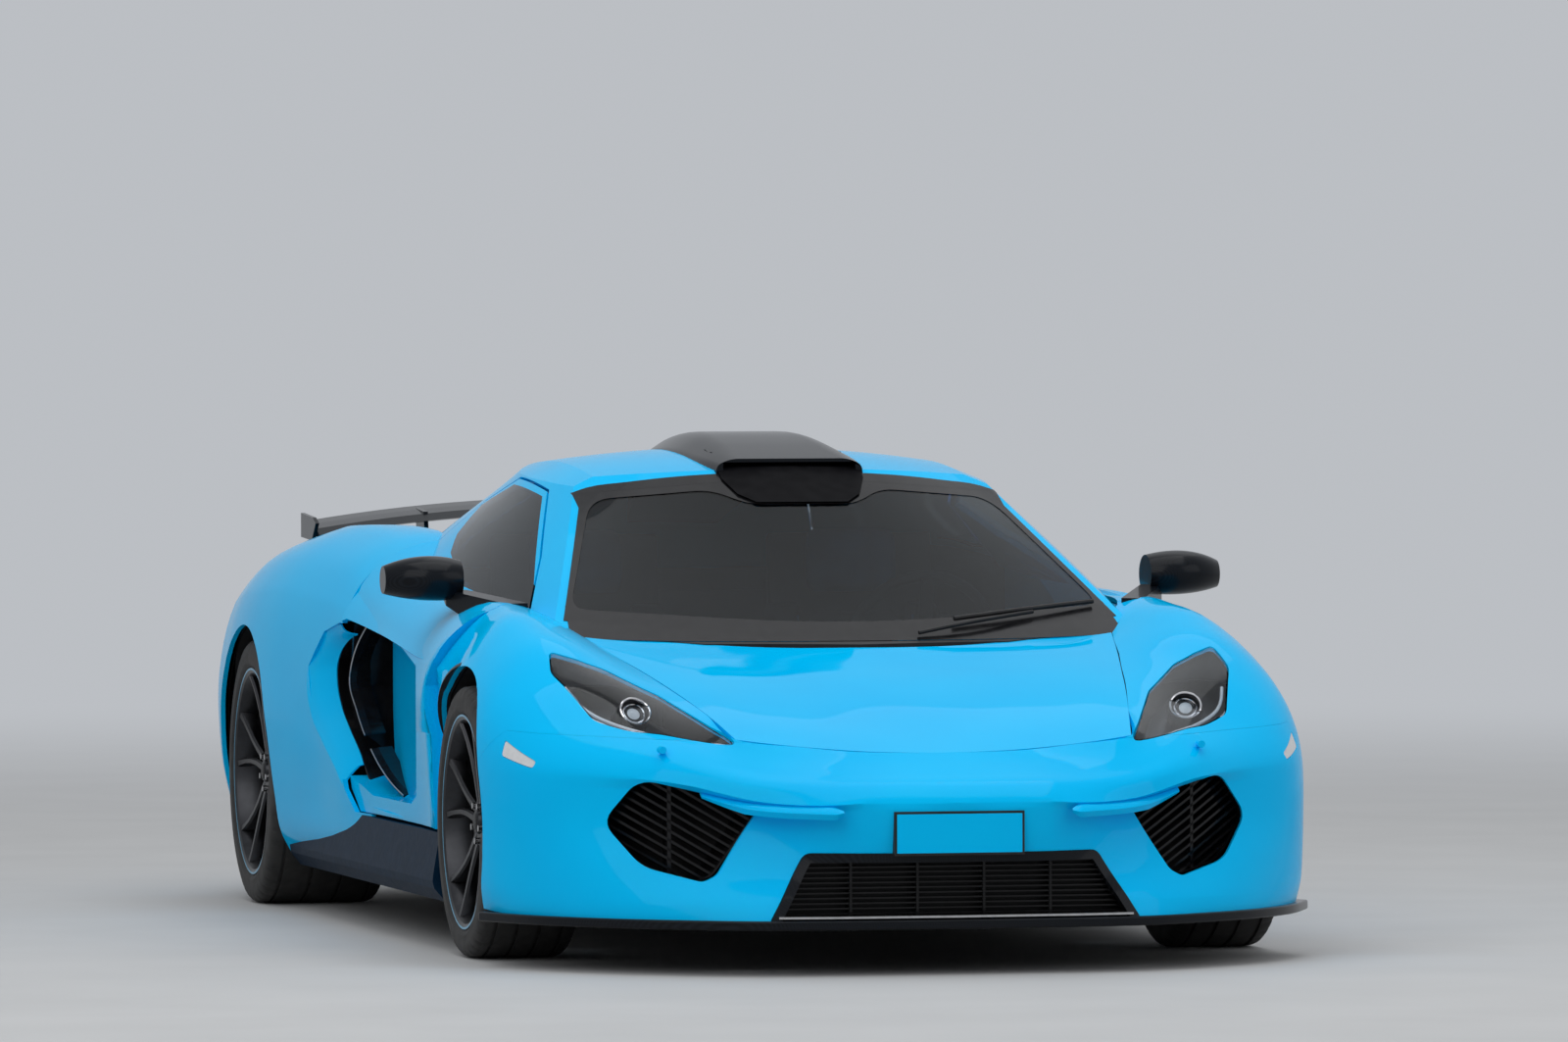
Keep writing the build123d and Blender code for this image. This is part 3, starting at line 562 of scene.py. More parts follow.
def weighted(obj):
    """Weighted normals that keep sharp edges."""
    obj.modifiers.new("weigh", "WEIGHTED_NORMAL").keep_sharp = True
    return obj


def soften(obj, width, segments=2):
    """Bevelled edges with even shading."""
    bevel = obj.modifiers.new("bevel", "BEVEL")
    bevel.width = width
    bevel.segments = segments
    bevel.limit_method = "ANGLE"
    bevel.angle_limit = math.radians(35)
    bevel.harden_normals = False
    return weighted(obj)


# ---------------------------------------------------------------- studio
BACKDROP = (0.5, 0.52, 0.55, 1)
FLOOR_HALF = 60
# Distances between which the floor fades into the backdrop
FADE_FROM, FADE_TO = 4.0, 17.0
# Grey of the world's light, from low to high
SKY = ((0, .2), (.15, .2), (.2, .26), (.36, .5), (.6, .62), (1, .75))
SKY_STRENGTH = 0.8
# Size, place, aim and power of each lamp
LIGHTS = {
    "key": (9.0, (-7.0, -8.0, 7.5), (0, 0, 0.5), 370), "fill": (8.0, (8.0, -8.0, 5.5), (0, -0.5, 0.5), 170),
    "top": (7.0, (0, -1.0, 8.0), (0, 0, 0), 210), "back": (6.0, (3.0, 6.0, 9.5), (0, 0, 0.5), 50),
}


def seen_rays(tree):
    """1 for camera, glossy and transmission rays, which all show the backdrop."""
    path = add_node(tree, "LightPath")
    total = path["Is Camera Ray"]
    for ray in ("Is Glossy Ray", "Is Transmission Ray"):
        total = add_node(tree, "Math", {0: total, 1: path[ray]}, operation="MAXIMUM")["Value"]
    return total


def mix_out(tree, fac, first, second, output):
    """Mix two shaders into an output node's surface."""
    mix = add_node(tree, "MixShader", {"Fac": fac, 1: first, 2: second})["Shader"]
    wire(tree, tree.nodes[output], {"Surface": mix})


def make_floor():
    """Pale floor that fades into the backdrop."""
    corners = ((-1, -1), (1, -1), (1, 1), (-1, 1))
    floor = mesh_object("floor", [(FLOOR_HALF * x, FLOOR_HALF * y, 0) for x, y in corners], [(0, 1, 2, 3)])
    tree, shader = new_material("floor")
    wire(tree, shader, {"Base Color": mottle(tree, 2.0, (0.5, 0.51, 0.52), (0.53, 0.54, 0.55)), "Roughness": 0.7})
    spot = add_node(tree, "NewGeometry")["Position"]
    far = add_node(tree, "VectorMath", {0: spot}, operation="LENGTH")["Value"]
    fade = add_node(tree, "MapRange", {"From Min": FADE_FROM, "From Max": FADE_TO, "Value": far},
                    interpolation_type="SMOOTHSTEP")["Result"]
    shown = add_node(tree, "Math", {0: fade, 1: seen_rays(tree)}, operation="MULTIPLY")["Value"]
    plain = add_node(tree, "Emission", {"Color": BACKDROP})["Emission"]
    mix_out(tree, shown, shader.outputs["BSDF"], plain, "Material Output")
    floor.data.materials.append(MATS["floor"])


def make_studio():
    """Pale floor, a pale backdrop that only shows, and plain soft light."""
    make_floor()
    world = bpy.data.worlds.new("studio")
    world.use_nodes = True
    tree = world.node_tree
    lit = tree.nodes["Background"]
    up = add_node(tree, "SeparateXYZ", {"Vector": add_node(tree, "TexCoord")["Generated"]})["Z"]
    height = add_node(tree, "MapRange", {"From Min": -0.2, "From Max": 1.0, "Value": up})["Result"]
    wire(tree, lit, {"Color": ramp(tree, height, [(at, (level,) * 3) for at, level in SKY]),
                     "Strength": SKY_STRENGTH})
    seen = add_node(tree, "Background", {"Color": BACKDROP})["Background"]
    mix_out(tree, seen_rays(tree), lit.outputs["Background"], seen, "World Output")
    bpy.context.scene.world = world
    for name, (size, at, aim, power) in LIGHTS.items():
        data = bpy.data.lights.new(name, "AREA")
        data.shape = "SQUARE"
        data.size = size
        data.energy = power
        lamp = link(bpy.data.objects.new(name, data))
        lamp.location = at
        lamp.rotation_euler = (Vector(aim) - Vector(at)).to_track_quat("-Z", "Y").to_euler()
    bpy.context.scene.view_settings.view_transform = "Standard"


# ---------------------------------------------------------------- carried-over nodes
NODE_GROUPS = {
    "paint": "door_left door_right engine_cover front_bumper front_lid front_wings rear_bumper rear_quarters "
             "roof_frame",
    "carbon": "diffuser mirror_left mirror_right rear_wing roof_scoop splitter",
    "satin_black": "arch_liners chassis cowl grilles luggage_tub", "gloss_black": "side_intakes",
    "skirt": "side_skirts", "glass": "door_glass_left door_glass_right fixed_glass", "lens": "headlamp_lenses",
    "lamp_dark": "headlamps", "lamp_red": "tail_lamps", "steel": "exhausts",
    "leather": "dashboard seats steering_wheel",
    "cast": "engine_block front_suspension knuckle_left knuckle_right rear_suspension",
    "wheel_black": "rim_front_left rim_front_right rim_rear_left rim_rear_right",
    "rubber": "tyre_front_left tyre_front_right tyre_rear_left tyre_rear_right",
}
NODE_MATS = {node: mat for mat, nodes in NODE_GROUPS.items() for node in nodes.split()}


def finish_nodes():
    """Material on every CAD node that still shows."""
    for name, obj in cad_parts.items():
        obj.data.materials.clear()
        obj.data.materials.append(MATS[NODE_MATS[name]])


# ---------------------------------------------------------------- outlines
def grown(outline, amount):
    """Closed 2-D outline moved out by an amount (in, if negative), with mitred corners."""
    points = [Vector(p) for p in outline]
    area = sum(points[i - 1].x * points[i].y - points[i].x * points[i - 1].y for i in range(len(points)))
    turn = amount if area > 0 else -amount
    moved = []
    for i, point in enumerate(points):
        before = (point - points[i - 1]).normalized()
        after = (points[(i + 1) % len(points)] - point).normalized()
        n1 = Vector((before.y, -before.x))
        n2 = Vector((after.y, -after.x))
        mitre = (n1 + n2)
        mitre /= max(mitre.length_squared / 2, 0.35)
        moved.append(tuple(point + mitre * turn))
    return moved


def rounded(outline, radius):
    """Closed 2-D outline with its corners rounded; radius is one value or one for each corner."""
    points = [Vector(p) for p in outline]
    result = []
    for i, corner in enumerate(points):
        size = radius[i] if hasattr(radius, "__len__") else radius
        back = points[i - 1] - corner
        ahead = points[(i + 1) % len(points)] - corner
        reach = min(size, 0.45 * back.length, 0.45 * ahead.length)
        start = corner + back.normalized() * reach
        end = corner + ahead.normalized() * reach
        for t in (0, 0.2, 0.4, 0.6, 0.8, 1):
            result.append(tuple((1 - t) ** 2 * start + 2 * t * (1 - t) * corner + t ** 2 * end))
    return result


def flipped(outline):
    """Plan or front-view outline on the other side of the car."""
    return [(-a, b) for a, b in outline]


def on_side(outline, side):
    """Plan or front-view outline on one side."""
    return outline if side > 0 else flipped(outline)


def tilted_prism(points, side, amount):
    """Prism of an outline seen along the open door's direction, from 3-D points on the left side."""
    tilt = math.radians(OPEN_TILT)
    out = Vector((math.cos(tilt), 0, math.sin(tilt)))
    up = Vector((-math.sin(tilt), 0, math.cos(tilt)))
    flat = grown([(p[1], Vector(p).dot(up)) for p in points], amount)
    verts = []
    for level in (-2.0, 2.5):
        for y, u in flat:
            point = up * u + out * level
            verts.append((side * point.x, y, point.z))
    return closed_prism(len(flat), verts)


# ---------------------------------------------------------------- body lines
# Doors, lids and openings, as the solids have them
OPEN_TILT = 50
DOOR_TOP_EDGE = ((.84, -.945, .836), (.7, -.6, .985), (.578, -.235, 1.112), (.56, .12, 1.118), (.6, .345, 1.052),
                 (.7, .43, .96), (.85, .452, .86), (.96, .44, .7))
DOOR_LOW_EDGE = ((-.945, 1.4), (-.945, .83), (-.815, .64), (-.8, .29), (.245, .29), (.33, .345), (.4, .52), (.46, .7),
                 (.47, 1.4))
HEADLAMP_EDGE = ((.479, -2.003), (.52, -1.9), (.6, -1.69), (.7, -1.545), (.815, -1.465), (.83, -1.56), (.77, -1.76),
                 (.69, -1.85), (.6, -1.925))
BUMPER_EDGE = ((-2.4, .1), (-2.4, .52), (-1.99, .54), (-1.64, .56), (-1.56, .48), (-1.56, .1))
CORNER_INTAKE = ((.442, .392), (.703, .454), (.78, .352), (.704, .25), (.577, .216), (.545, .232))
CORNER_ROUND = (0.006, 0.035, 0.035, 0.03, 0.012, 0.012)
MARKER_EDGE = ((-1.77, .49), (-1.655, .538), (-1.664, .5), (-1.768, .473))
LOWER_INTAKE = ((.345, .273), (.435, .12), (-.435, .12), (-.345, .273))
MOUTH_EDGE = ((.345, .352), (.412, .395), (.64, .525), (.7, .643), (.6, .735), (.478, .76), (.4, .76), (.3, .5))
TAIL_OPENING = ((-.64, .56), (.64, .56), (.64, .7), (-.64, .7))
TAIL_LAMP = ((.56, .738), (.9, .705), (.9, .735), (.56, .768))
FRONT_AXLE = (-1.225, 0.326)
REAR_AXLE = (1.445, 0.346)
ARCH_FRONT = 0.374
ARCH_REAR = 0.385
HALF_GAP = 0.002
SKIN = 0.012
# Beyond the car's sides, and lengths of the cutters through the nose and the tail
WIDE = 1.3
NOSE_SPAN = (-2.4, -2.0)
TAIL_SPAN = (1.9, 2.4)
LAMP_SPAN = (0.4, 0.9)
# How far from the middle the arches, mouths and marker lamps are cut
ARCH_INNER = 0.56
MOUTH_INNER = 0.7
MARKER_INNER = 0.85
# Depth under the skin and thickness of the lining, whose near-black is painted shade in the panel gaps
LINING_DEPTH = 0.02
LINING_THICK = 0.003


def station(y, *spots):
    """Column whose points all lie at one y, from (x, z) pairs."""
    return tuple((x, y, z) for x, z in spots)


# Left half of the front body, column by column from the middle of the nose to the back of the door.
# Rows: floor edge, lip, lower, recess low, recess high, ledge, shoulder, outer crest, crest, bonnet edge or belt.
FRONT_BODY = (
    ((0, -2.235, .128), (0, -2.232, .175), (0, -2.222, .262), (0, -2.232, .33), (0, -2.239, .385), (0, -2.241, .402),
     (0, -2.205, .44), (0, -2.15, .467), (0, -2.095, .492), (0, -2.052, .512)),
    ((.22, -2.23, .128), (.22, -2.226, .175), (.22, -2.208, .262), (.22, -2.218, .33), (.22, -2.227, .385),
     (.22, -2.23, .402), (.22, -2.194, .44), (.225, -2.14, .467), (.23, -2.085, .494), (.24, -2.042, .518)),
    ((.3, -2.224, .128), (.3, -2.214, .175), (.3, -2.178, .262), (.3, -2.18, .33), (.3, -2.192, .378),
     (.295, -2.218, .398), (.3, -2.18, .438), (.305, -2.13, .466), (.31, -2.07, .5), (.32, -2.03, .526)),
    ((.44, -2.205, .128), (.44, -2.185, .175), (.45, -2.13, .25), (.45, -2.1, .33), (.445, -2.095, .38),
     (.445, -2.152, .404), (.45, -2.135, .44), (.46, -2.085, .475), (.47, -2.035, .51), (.478, -1.99, .545)),
    ((.62, -2.1, .128), (.62, -2.09, .17), (.62, -2.05, .235), (.62, -2.01, .33), (.62, -2.005, .425),
     (.615, -2.045, .443), (.61, -2.03, .475), (.6, -1.985, .515), (.575, -1.92, .555), (.513, -1.83, .598)),
    ((.78, -1.965, .128), (.785, -1.955, .17), (.79, -1.93, .25), (.79, -1.9, .34), (.785, -1.895, .43),
     (.78, -1.9, .46), (.77, -1.88, .5), (.74, -1.81, .565), (.67, -1.72, .632), (.56, -1.62, .654)),
    ((.905, -1.8, .13), (.915, -1.79, .17), (.925, -1.775, .25), (.935, -1.76, .34), (.94, -1.75, .43),
     (.938, -1.745, .47), (.93, -1.72, .52), (.885, -1.65, .615), (.78, -1.56, .7), (.593, -1.45, .692)),
    ((.97, -1.66, .13), (.985, -1.65, .18), (.995, -1.63, .25), (1, -1.62, .34), (1.003, -1.61, .42),
     (1.003, -1.6, .47), (.995, -1.57, .545), (.95, -1.5, .655), (.82, -1.42, .755), (.62, -1.32, .72)),
    ((1, -1.45, .14), (1.015, -1.45, .19), (1.02, -1.44, .27), (1.022, -1.43, .36), (1.022, -1.42, .43),
     (1.022, -1.41, .48), (1.01, -1.38, .575), (.97, -1.34, .685), (.84, -1.28, .79), (.64, -1.2, .745)),
    ((1, -1.225, .15), (1.02, -1.225, .2), (1.03, -1.225, .28), (1.033, -1.225, .37), (1.033, -1.225, .44),
     (1.03, -1.225, .49), (1.015, -1.215, .6), (.96, -1.2, .72), (.845, -1.16, .815), (.66, -1.1, .765)),
    ((.97, -1.03, .15), (.99, -1.03, .2), (1, -1.03, .28), (1, -1.03, .38), (.998, -1.03, .45), (.995, -1.03, .5),
     (.985, -1.03, .62), (.94, -1.02, .735), (.835, -1, .83), (.685, -.98, .795)),
    station(-.86, (.93, .15), (.96, .2), (.965, .28), (.955, .38), (.95, .46), (.95, .52), (.97, .68), (.925, .755),
             (.83, .84), (.735, .825)),
    station(-.55, (.91, .15), (.945, .2), (.945, .29), (.9, .37), (.885, .5), (.885, .6), (.965, .705), (.925, .77),
             (.835, .84), (.765, .845)),
    station(-.15, (.91, .15), (.945, .2), (.95, .3), (.865, .36), (.855, .5), (.85, .66), (.955, .735), (.92, .795),
             (.845, .855), (.785, .868)),
    station(.25, (.91, .15), (.95, .2), (.955, .31), (.83, .365), (.82, .52), (.815, .71), (.945, .765), (.915, .83),
             (.84, .9), (.745, .93)),
    station(.5, (.92, .15), (.97, .2), (.98, .32), (.8, .38), (.8, .55), (.8, .735), (.95, .79), (.9, .88), (.8, .96),
             (.7, .985)),
)
# How sharp a row runs along the car, one weight a column
FRONT_CREASES = {
    1: (.6, .6, .6, .6, .5, .4, .3, .3, .3, .3, .3, .3, .3, .3, .3, .3),
    2: (0, 0, 0, .3, .3, .2, 0, 0, 0, 0, 0, .2, .9, .9, .9, .9),
    3: (0, 0, 0, 0, 0, 0, 0, 0, 0, 0, 0, .2, .6, .6, .6, .6),
    4: (0, 0, .6, 1, 1, .5, .1, 0, 0, 0, 0, 0, 0, 0, 0, 0),
    5: (.5, .6, .85, 1, .9, .4, .1, 0, 0, 0, 0, .3, .7, .8, .8, .8),
    6: (0, 0, 0, 0, 0, 0, 0, 0, 0, 0, .2, .9, 1, 1, 1, 1),
}

# Left half of the rear body, from the side intake to the middle of the tail, with the same rows and the deck's edge
REAR_BODY = (
    station(.1, (.91, .15), (.95, .2), (.953, .295), (.955, .4), (.955, .48), (.955, .56), (.945, .745), (.905, .82),
             (.84, .9), (.74, .93), (.73, .932)),
    station(.35, (.92, .15), (.96, .2), (.978, .3), (.985, .42), (.985, .5), (.98, .58), (.955, .765), (.91, .845),
             (.83, .92), (.72, .95), (.7, .955)),
    station(.6, (.93, .15), (.975, .2), (.99, .3), (1, .42), (1, .51), (1, .6), (.965, .8), (.9, .9), (.8, .968),
             (.68, .985), (.66, .98)),
    station(.85, (.95, .15), (.99, .2), (1.01, .3), (1.025, .43), (1.027, .52), (1.022, .6), (.985, .81), (.915, .915),
             (.79, .992), (.64, .985), (.62, .965)),
    station(1.15, (.98, .15), (1.01, .2), (1.035, .3), (1.05, .44), (1.053, .52), (1.048, .6), (1.005, .82),
             (.93, .925), (.8, .995), (.6, .965), (.565, .935)),
    station(1.445, (.99, .15), (1.02, .2), (1.045, .3), (1.058, .45), (1.06, .52), (1.058, .6), (1.015, .81),
             (.94, .91), (.8, .975), (.57, .93), (.51, .907)),
    station(1.75, (.97, .16), (1, .21), (1.03, .31), (1.045, .46), (1.047, .53), (1.043, .6), (1, .79), (.925, .885),
             (.785, .945), (.55, .905), (.51, .899)),
    ((.93, 2, .2), (.96, 2, .25), (.985, 2, .34), (1, 2, .47), (1.002, 2, .535), (.998, 2, .6), (.955, 2, .765),
     (.885, 2, .85), (.75, 2, .915), (.56, 1.98, .902), (.51, 1.915, .897)),
    ((.84, 2.1, .24), (.86, 2.12, .28), (.88, 2.13, .36), (.895, 2.135, .48), (.897, 2.137, .54), (.895, 2.135, .6),
     (.86, 2.13, .74), (.8, 2.12, .82), (.69, 2.1, .885), (.55, 2.07, .897), (.45, 1.947, .895)),
    ((.58, 2.19, .3), (.6, 2.2, .33), (.6, 2.222, .38), (.6, 2.231, .48), (.6, 2.232, .54), (.6, 2.231, .6),
     (.6, 2.218, .73), (.58, 2.2, .81), (.53, 2.17, .868), (.48, 2.12, .89), (.3, 1.947, .893)),
    ((0, 2.2, .31), (0, 2.215, .34), (0, 2.233, .38), (0, 2.24, .48), (0, 2.241, .54), (0, 2.24, .6), (0, 2.23, .73),
     (0, 2.22, .81), (0, 2.19, .865), (0, 2.13, .885), (0, 1.947, .89)),
)
REAR_CREASES = {6: (.6, .6, .6, .4, .3, .3, .3, .3, .4, .5, .5), 8: (.3, .3, .4, .4, .4, .4, .4, .4, .5, .6, .6),
                9: (.2, .2, .3, .4, .5, .5, .5, .5, .6, .6, .6)}

# Left half of the bonnet, row by row from its front edge to the cowl
BONNET = (
    ((0, -2.052, .512), (.16, -2.047, .515), (.3, -2.032, .525), (.4, -2.012, .535), (.478, -1.99, .545)),
    ((0, -1.93, .553), (.17, -1.925, .557), (.32, -1.91, .568), (.43, -1.885, .58), (.505, -1.865, .588)),
    ((0, -1.75, .61), (.19, -1.74, .613), (.36, -1.72, .625), (.47, -1.7, .635), (.545, -1.68, .64)),
    ((0, -1.55, .662), (.21, -1.54, .664), (.39, -1.52, .675), (.5, -1.5, .683), (.585, -1.48, .686)),
    ((0, -1.38, .7), (.22, -1.37, .702), (.41, -1.34, .713), (.53, -1.31, .722), (.625, -1.28, .727)),
    ((0, -1.228, .735), (.23, -1.215, .737), (.43, -1.165, .748), (.56, -1.12, .757), (.66, -1.085, .768)),
)


def both_halves(half):
    """Whole grid [row][column] from its left half, whose first column is in the middle."""
    mirror = half[:, :0:-1] * np.array((-1, 1, 1))
    return np.concatenate((mirror, half), axis=1)


def front_grid():
    """Left half of the front body."""
    table = np.swapaxes(np.array(FRONT_BODY), 0, 1)
    ghost_creases = {row: (weights[1], *weights) for row, weights in FRONT_CREASES.items()}
    return net(table, 5, 6, row_crease=ghost_creases, mirror_first=True)


def rear_grid():
    """Left half of the rear body, from the side to the middle of the tail."""
    table = np.swapaxes(np.array(REAR_BODY), 0, 1)[:, ::-1]
    ghost_creases = {row: (weights[-2], *weights[::-1]) for row, weights in REAR_CREASES.items()}
    return net(table, 5, 6, row_crease=ghost_creases, mirror_first=True)


def arch_cylinders():
    """Wheel openings on both sides, as cutters."""
    wells = []
    for (y, z), radius in ((FRONT_AXLE, ARCH_FRONT), (REAR_AXLE, ARCH_REAR)):
        for low, high in ((ARCH_INNER, WIDE), (-WIDE, -ARCH_INNER)):
            wells.append(cylinder(0, (y, z), radius, low, high))
    return wells


def headlamp_cutters(amount):
    """Plan prisms of both headlamps."""
    edge = grown(rounded(HEADLAMP_EDGE, 0.02), amount)
    return [prism(edge, 2, *LAMP_SPAN), prism(flipped(edge), 2, *LAMP_SPAN)]


def door_cutters(amount):
    """Spaces of both doors, each as its upper and its lower prism."""
    top = [*DOOR_TOP_EDGE, (0.96, 0.44, -0.9), (0.96, -0.945, -0.9)]
    result = []
    for _, side in SIDES:
        upper = tilted_prism(top, side, amount)
        lower = side_prism(grown(DOOR_LOW_EDGE, amount), side, 0.3)
        carve(upper, [lower], "INTERSECT")
        drop(lower)
        result.append(upper)
    return result


def mouth_cutters():
    """Spaces of both side mouths."""
    return [side_prism(MOUTH_EDGE, side, MOUTH_INNER) for _, side in SIDES]


def finish_panel(obj, body, slot, *nodes):
    """Smooth shading with weighted normals, then its body and nodes; the slot is not used."""
    return place(weighted(smooth(obj, 30)), body, slot, *nodes)


def make_front_skin():
    """Bumper, wings and door skins cut from one front surface."""
    skin = slab("skin", both_halves(front_grid()), SKIN, "paint")
    bumper_space = prism(BUMPER_EDGE, 0, -WIDE, WIDE)
    door_spaces = door_cutters(-HALF_GAP)
    door_holes = door_cutters(HALF_GAP)
    arches = arch_cylinders()
    lamps = headlamp_cutters(HALF_GAP)
    corner = rounded(CORNER_INTAKE, CORNER_ROUND)
    intakes = [prism(outline, 1, -2.4, -1.8) for outline in (corner, flipped(corner))]
    intakes += [side_prism(rounded(MARKER_EDGE, 0.008), side, MARKER_INNER) for _, side in SIDES]
    lower = prism(grown(rounded(LOWER_INTAKE, 0.01), 0.012), 1, *NOSE_SPAN)
    behind_nose = prism(((-WIDE, -0.815), (WIDE, -0.815), (WIDE, 0.9), (-WIDE, 0.9)), 2, 0, 1.4)

    small_bumper = prism(grown(BUMPER_EDGE, -0.0004), 0, -WIDE, WIDE)
    bumper = cut_from(skin, "front_bumper_skin", small_bumper)
    carve(bumper, [*intakes, lower, *arches, *lamps])
    finish_panel(bumper, "body", "paint", "front_bumper")

    wings = duplicate(skin, "front_wing_skins")
    carve(wings, [bumper_space, *arches, *lamps, *door_holes, behind_nose])
    finish_panel(wings, "body", "paint", "front_wings")

    for (name, side), space in zip(SIDES, door_spaces):
        door = cut_from(skin, f"door_{name}_skin", space)
        carve(door, arches)
        finish_panel(door, f"door_{name}", "paint")
    drop(skin, bumper_space, small_bumper, lower, behind_nose, *door_spaces, *door_holes, *arches, *lamps, *intakes)


def make_rear_skin():
    """Quarters and rear bumper cut from one rear surface."""
    skin = slab("skin", both_halves(rear_grid()), SKIN, "paint", flip=True)
    arches = arch_cylinders()
    door_holes = door_cutters(HALF_GAP)
    mouths = mouth_cutters()
    tail = [prism(rounded(TAIL_OPENING, 0.02), 1, *TAIL_SPAN)]
    tail += [prism(grown(outline, 0.002), 1, *TAIL_SPAN) for outline in (TAIL_LAMP, flipped(TAIL_LAMP))]
    skin.name = "rear_quarter_skins"
    carve(skin, [*arches, *door_holes, *mouths, *tail])
    finish_panel(skin, "body", "paint", "rear_quarters", "rear_bumper")
    drop(*arches, *door_holes, *mouths, *tail)


def make_bonnet():
    """Bonnet from a smooth net through its rows."""
    grid = both_halves(net(BONNET, 6, 6, mirror_first=True))
    finish_panel(slab("bonnet_skin", grid, SKIN, "paint"), "front_lid", "paint", "front_lid")


# ---------------------------------------------------------------- behind the skin
# Rim of the side mouth and the inner end of its blue wall: x, y, z on the left side
MOUTH_RIM = ((.955, .3, .318), (.978, .345, .35), (.986, .412, .392), (.997, .53, .455), (1.006, .64, .523),
             (1.007, .688, .585), (1, .7, .645), (.985, .668, .692), (.972, .6, .734), (.955, .49, .757))
MOUTH_THROAT = ((.915, .262, .345), (.925, .3, .374), (.93, .36, .425), (.94, .455, .487), (.946, .548, .548),
                (.947, .592, .598), (.945, .605, .645), (.94, .585, .68), (.93, .54, .712), (.918, .47, .732))
# Panel behind the duct, in side view
MOUTH_BACK = ((.3, .34), (.45, .36), (.67, .52), (.72, .64), (.65, .73), (.47, .76), (.35, .6))
# Outer edge of the boomerang blade in the mouth
BLADE_LINE = ((.9, .44, .752), (.925, .468, .69), (.938, .48, .62), (.935, .4, .54), (.922, .23, .43),
              (.905, .06, .362), (.895, -.02, .34))

# Black rear part of the door's recess in side view
DOOR_TRIM_EDGE = ((.02, .385), (.12, .366), (.255, .358), (.335, .37), (.395, .51), (.445, .7), (.44, .742),
                  (.235, .727), (.07, .695), (.02, .66))


def make_mouths():
    """Side mouths: blue wall, black duct, panel and sill, and the boomerang blades."""
    for name, side in SIDES:
        rim = np.array(MOUTH_RIM) * (side, 1, 1)
        throat = np.array(MOUTH_THROAT) * (side, 1, 1)
        middle = 0.5 * (rim + throat) + np.array((side * 0.012, 0.01, 0))
        wall = slab(f"mouth_wall_{name}", net(np.stack((rim, middle, throat)), 5, 6), 0.004, "paint", flip=side > 0)
        corner = side_prism(((0.25, 0.25), (0.352, 0.25), (0.34, 0.4), (0.25, 0.44)), side, MOUTH_INNER)
        carve(wall, [corner])
        drop(corner)
        finish_panel(wall, "body", "paint")
        duct_end = throat + np.array((-side * 0.085, 0.1, 0)) + 0.25 * (throat.mean(axis=0) - throat) * (0, 1, 1)
        duct = slab(f"mouth_duct_{name}", net(np.stack((throat, duct_end)), 2, 6), 0.003, "gloss_black", flip=side > 0)
        finish_panel(duct, "body", "gloss_black")
        back = side_prism(MOUTH_BACK, side, 0.79, 0.8)
        place(tinted(back, "satin_black", f"mouth_back_{name}"), "body", "gloss_black")
        sill = block(f"mouth_sill_{name}", sorted((side * 0.8, side * 0.942)), (0.44, 0.56), (0.19, 0.4),
                     "satin_black")
        place(sill, "body", "satin_black")
        line = smooth_line(BLADE_LINE, 6) * (side, 1, 1)
        above = np.nonzero(line[:, 1] > 0.3)[0].max() + 1
        for part, body, edge in (("upper", "body", line[:above]), ("lower", f"door_{name}", line[line[:, 1] < 0.27])):
            ridge = edge + np.array((-side * 0.02, 0.006, 0.004))
            root = edge + np.array((-side * 0.06, 0.03, 0.006))
            blade = slab("blade", np.stack((edge, ridge, root)), 0.005, "gloss_black", flip=side > 0)
            trim = tube("trim", edge, 0.0017, "metal", 6, smooth_parts=1)
            place(merged(f"mouth_blade_{part}_{name}", blade, trim), body, "gloss_black")


def make_door_trim(front):
    """Black rear end of each door's recess, laid on the skin."""
    patch = lifted("patch", front, 0.0015, 0.003, "gloss_black")
    for name, side in SIDES:
        window = side_prism(DOOR_TRIM_EDGE, side, 0.7, 0.93)
        finish_panel(cut_from(patch, f"door_trim_{name}", window), f"door_{name}", "gloss_black")
        drop(window)
    drop(patch)


def make_linings(front, rear):
    """Inner shells in near-black painted shade that close the view through the panel gaps."""
    arches = arch_cylinders()
    doors = door_cutters(0.012)
    mouths = mouth_cutters()
    tail = prism(grown(TAIL_OPENING, 0.01), 1, *TAIL_SPAN)
    for name, grid, facing, cutters in (("front_lining", front, 1, [*arches, *doors]),
                                        ("rear_lining", rear, -1, [*arches, *doors, *mouths, tail])):
        # Near-black painted shade, seen through the gaps
        inner = lifted(name, grid, -facing * LINING_DEPTH, LINING_THICK, "painted_shade", flip=facing < 0)
        carve(inner, cutters)
        if name == "front_lining":
            nose = prism(((-1.2, -1.6), (1.2, -1.6), (1.2, 0.9), (-1.2, 0.9)), 2, 0, 1.4)
            carve(inner, [nose], "INTERSECT")
            drop(nose)
        place(inner, "body", "satin_black")
    drop(*arches, *doors, *mouths, tail)


# Clear part of the windscreen in front view, and the rounding of its corners
WINDSCREEN_CLEAR = ((0, .785), (.662, .828), (.507, 1.084), (.215, 1.108), (.135, 1.072), (-.135, 1.072),
                    (-.215, 1.108), (-.507, 1.084), (-.662, .828))
CLEAR_ROUND = (0.4, 0.04, 0.05, 0.06, 0.04, 0.04, 0.06, 0.05, 0.04)
# Smooth upper limit of the black border, over the roof's straight edges
ROOF_EDGE = ((.54, 1.1), (.5, 1.113), (.4, 1.127), (.28, 1.14), (.168, 1.147))
# Half of the chin under the scoop's mouth, covered in near-black painted shade
CHIN = ((.184, 1.17), (.18, 1.135), (.155, 1.098), (.115, 1.078))


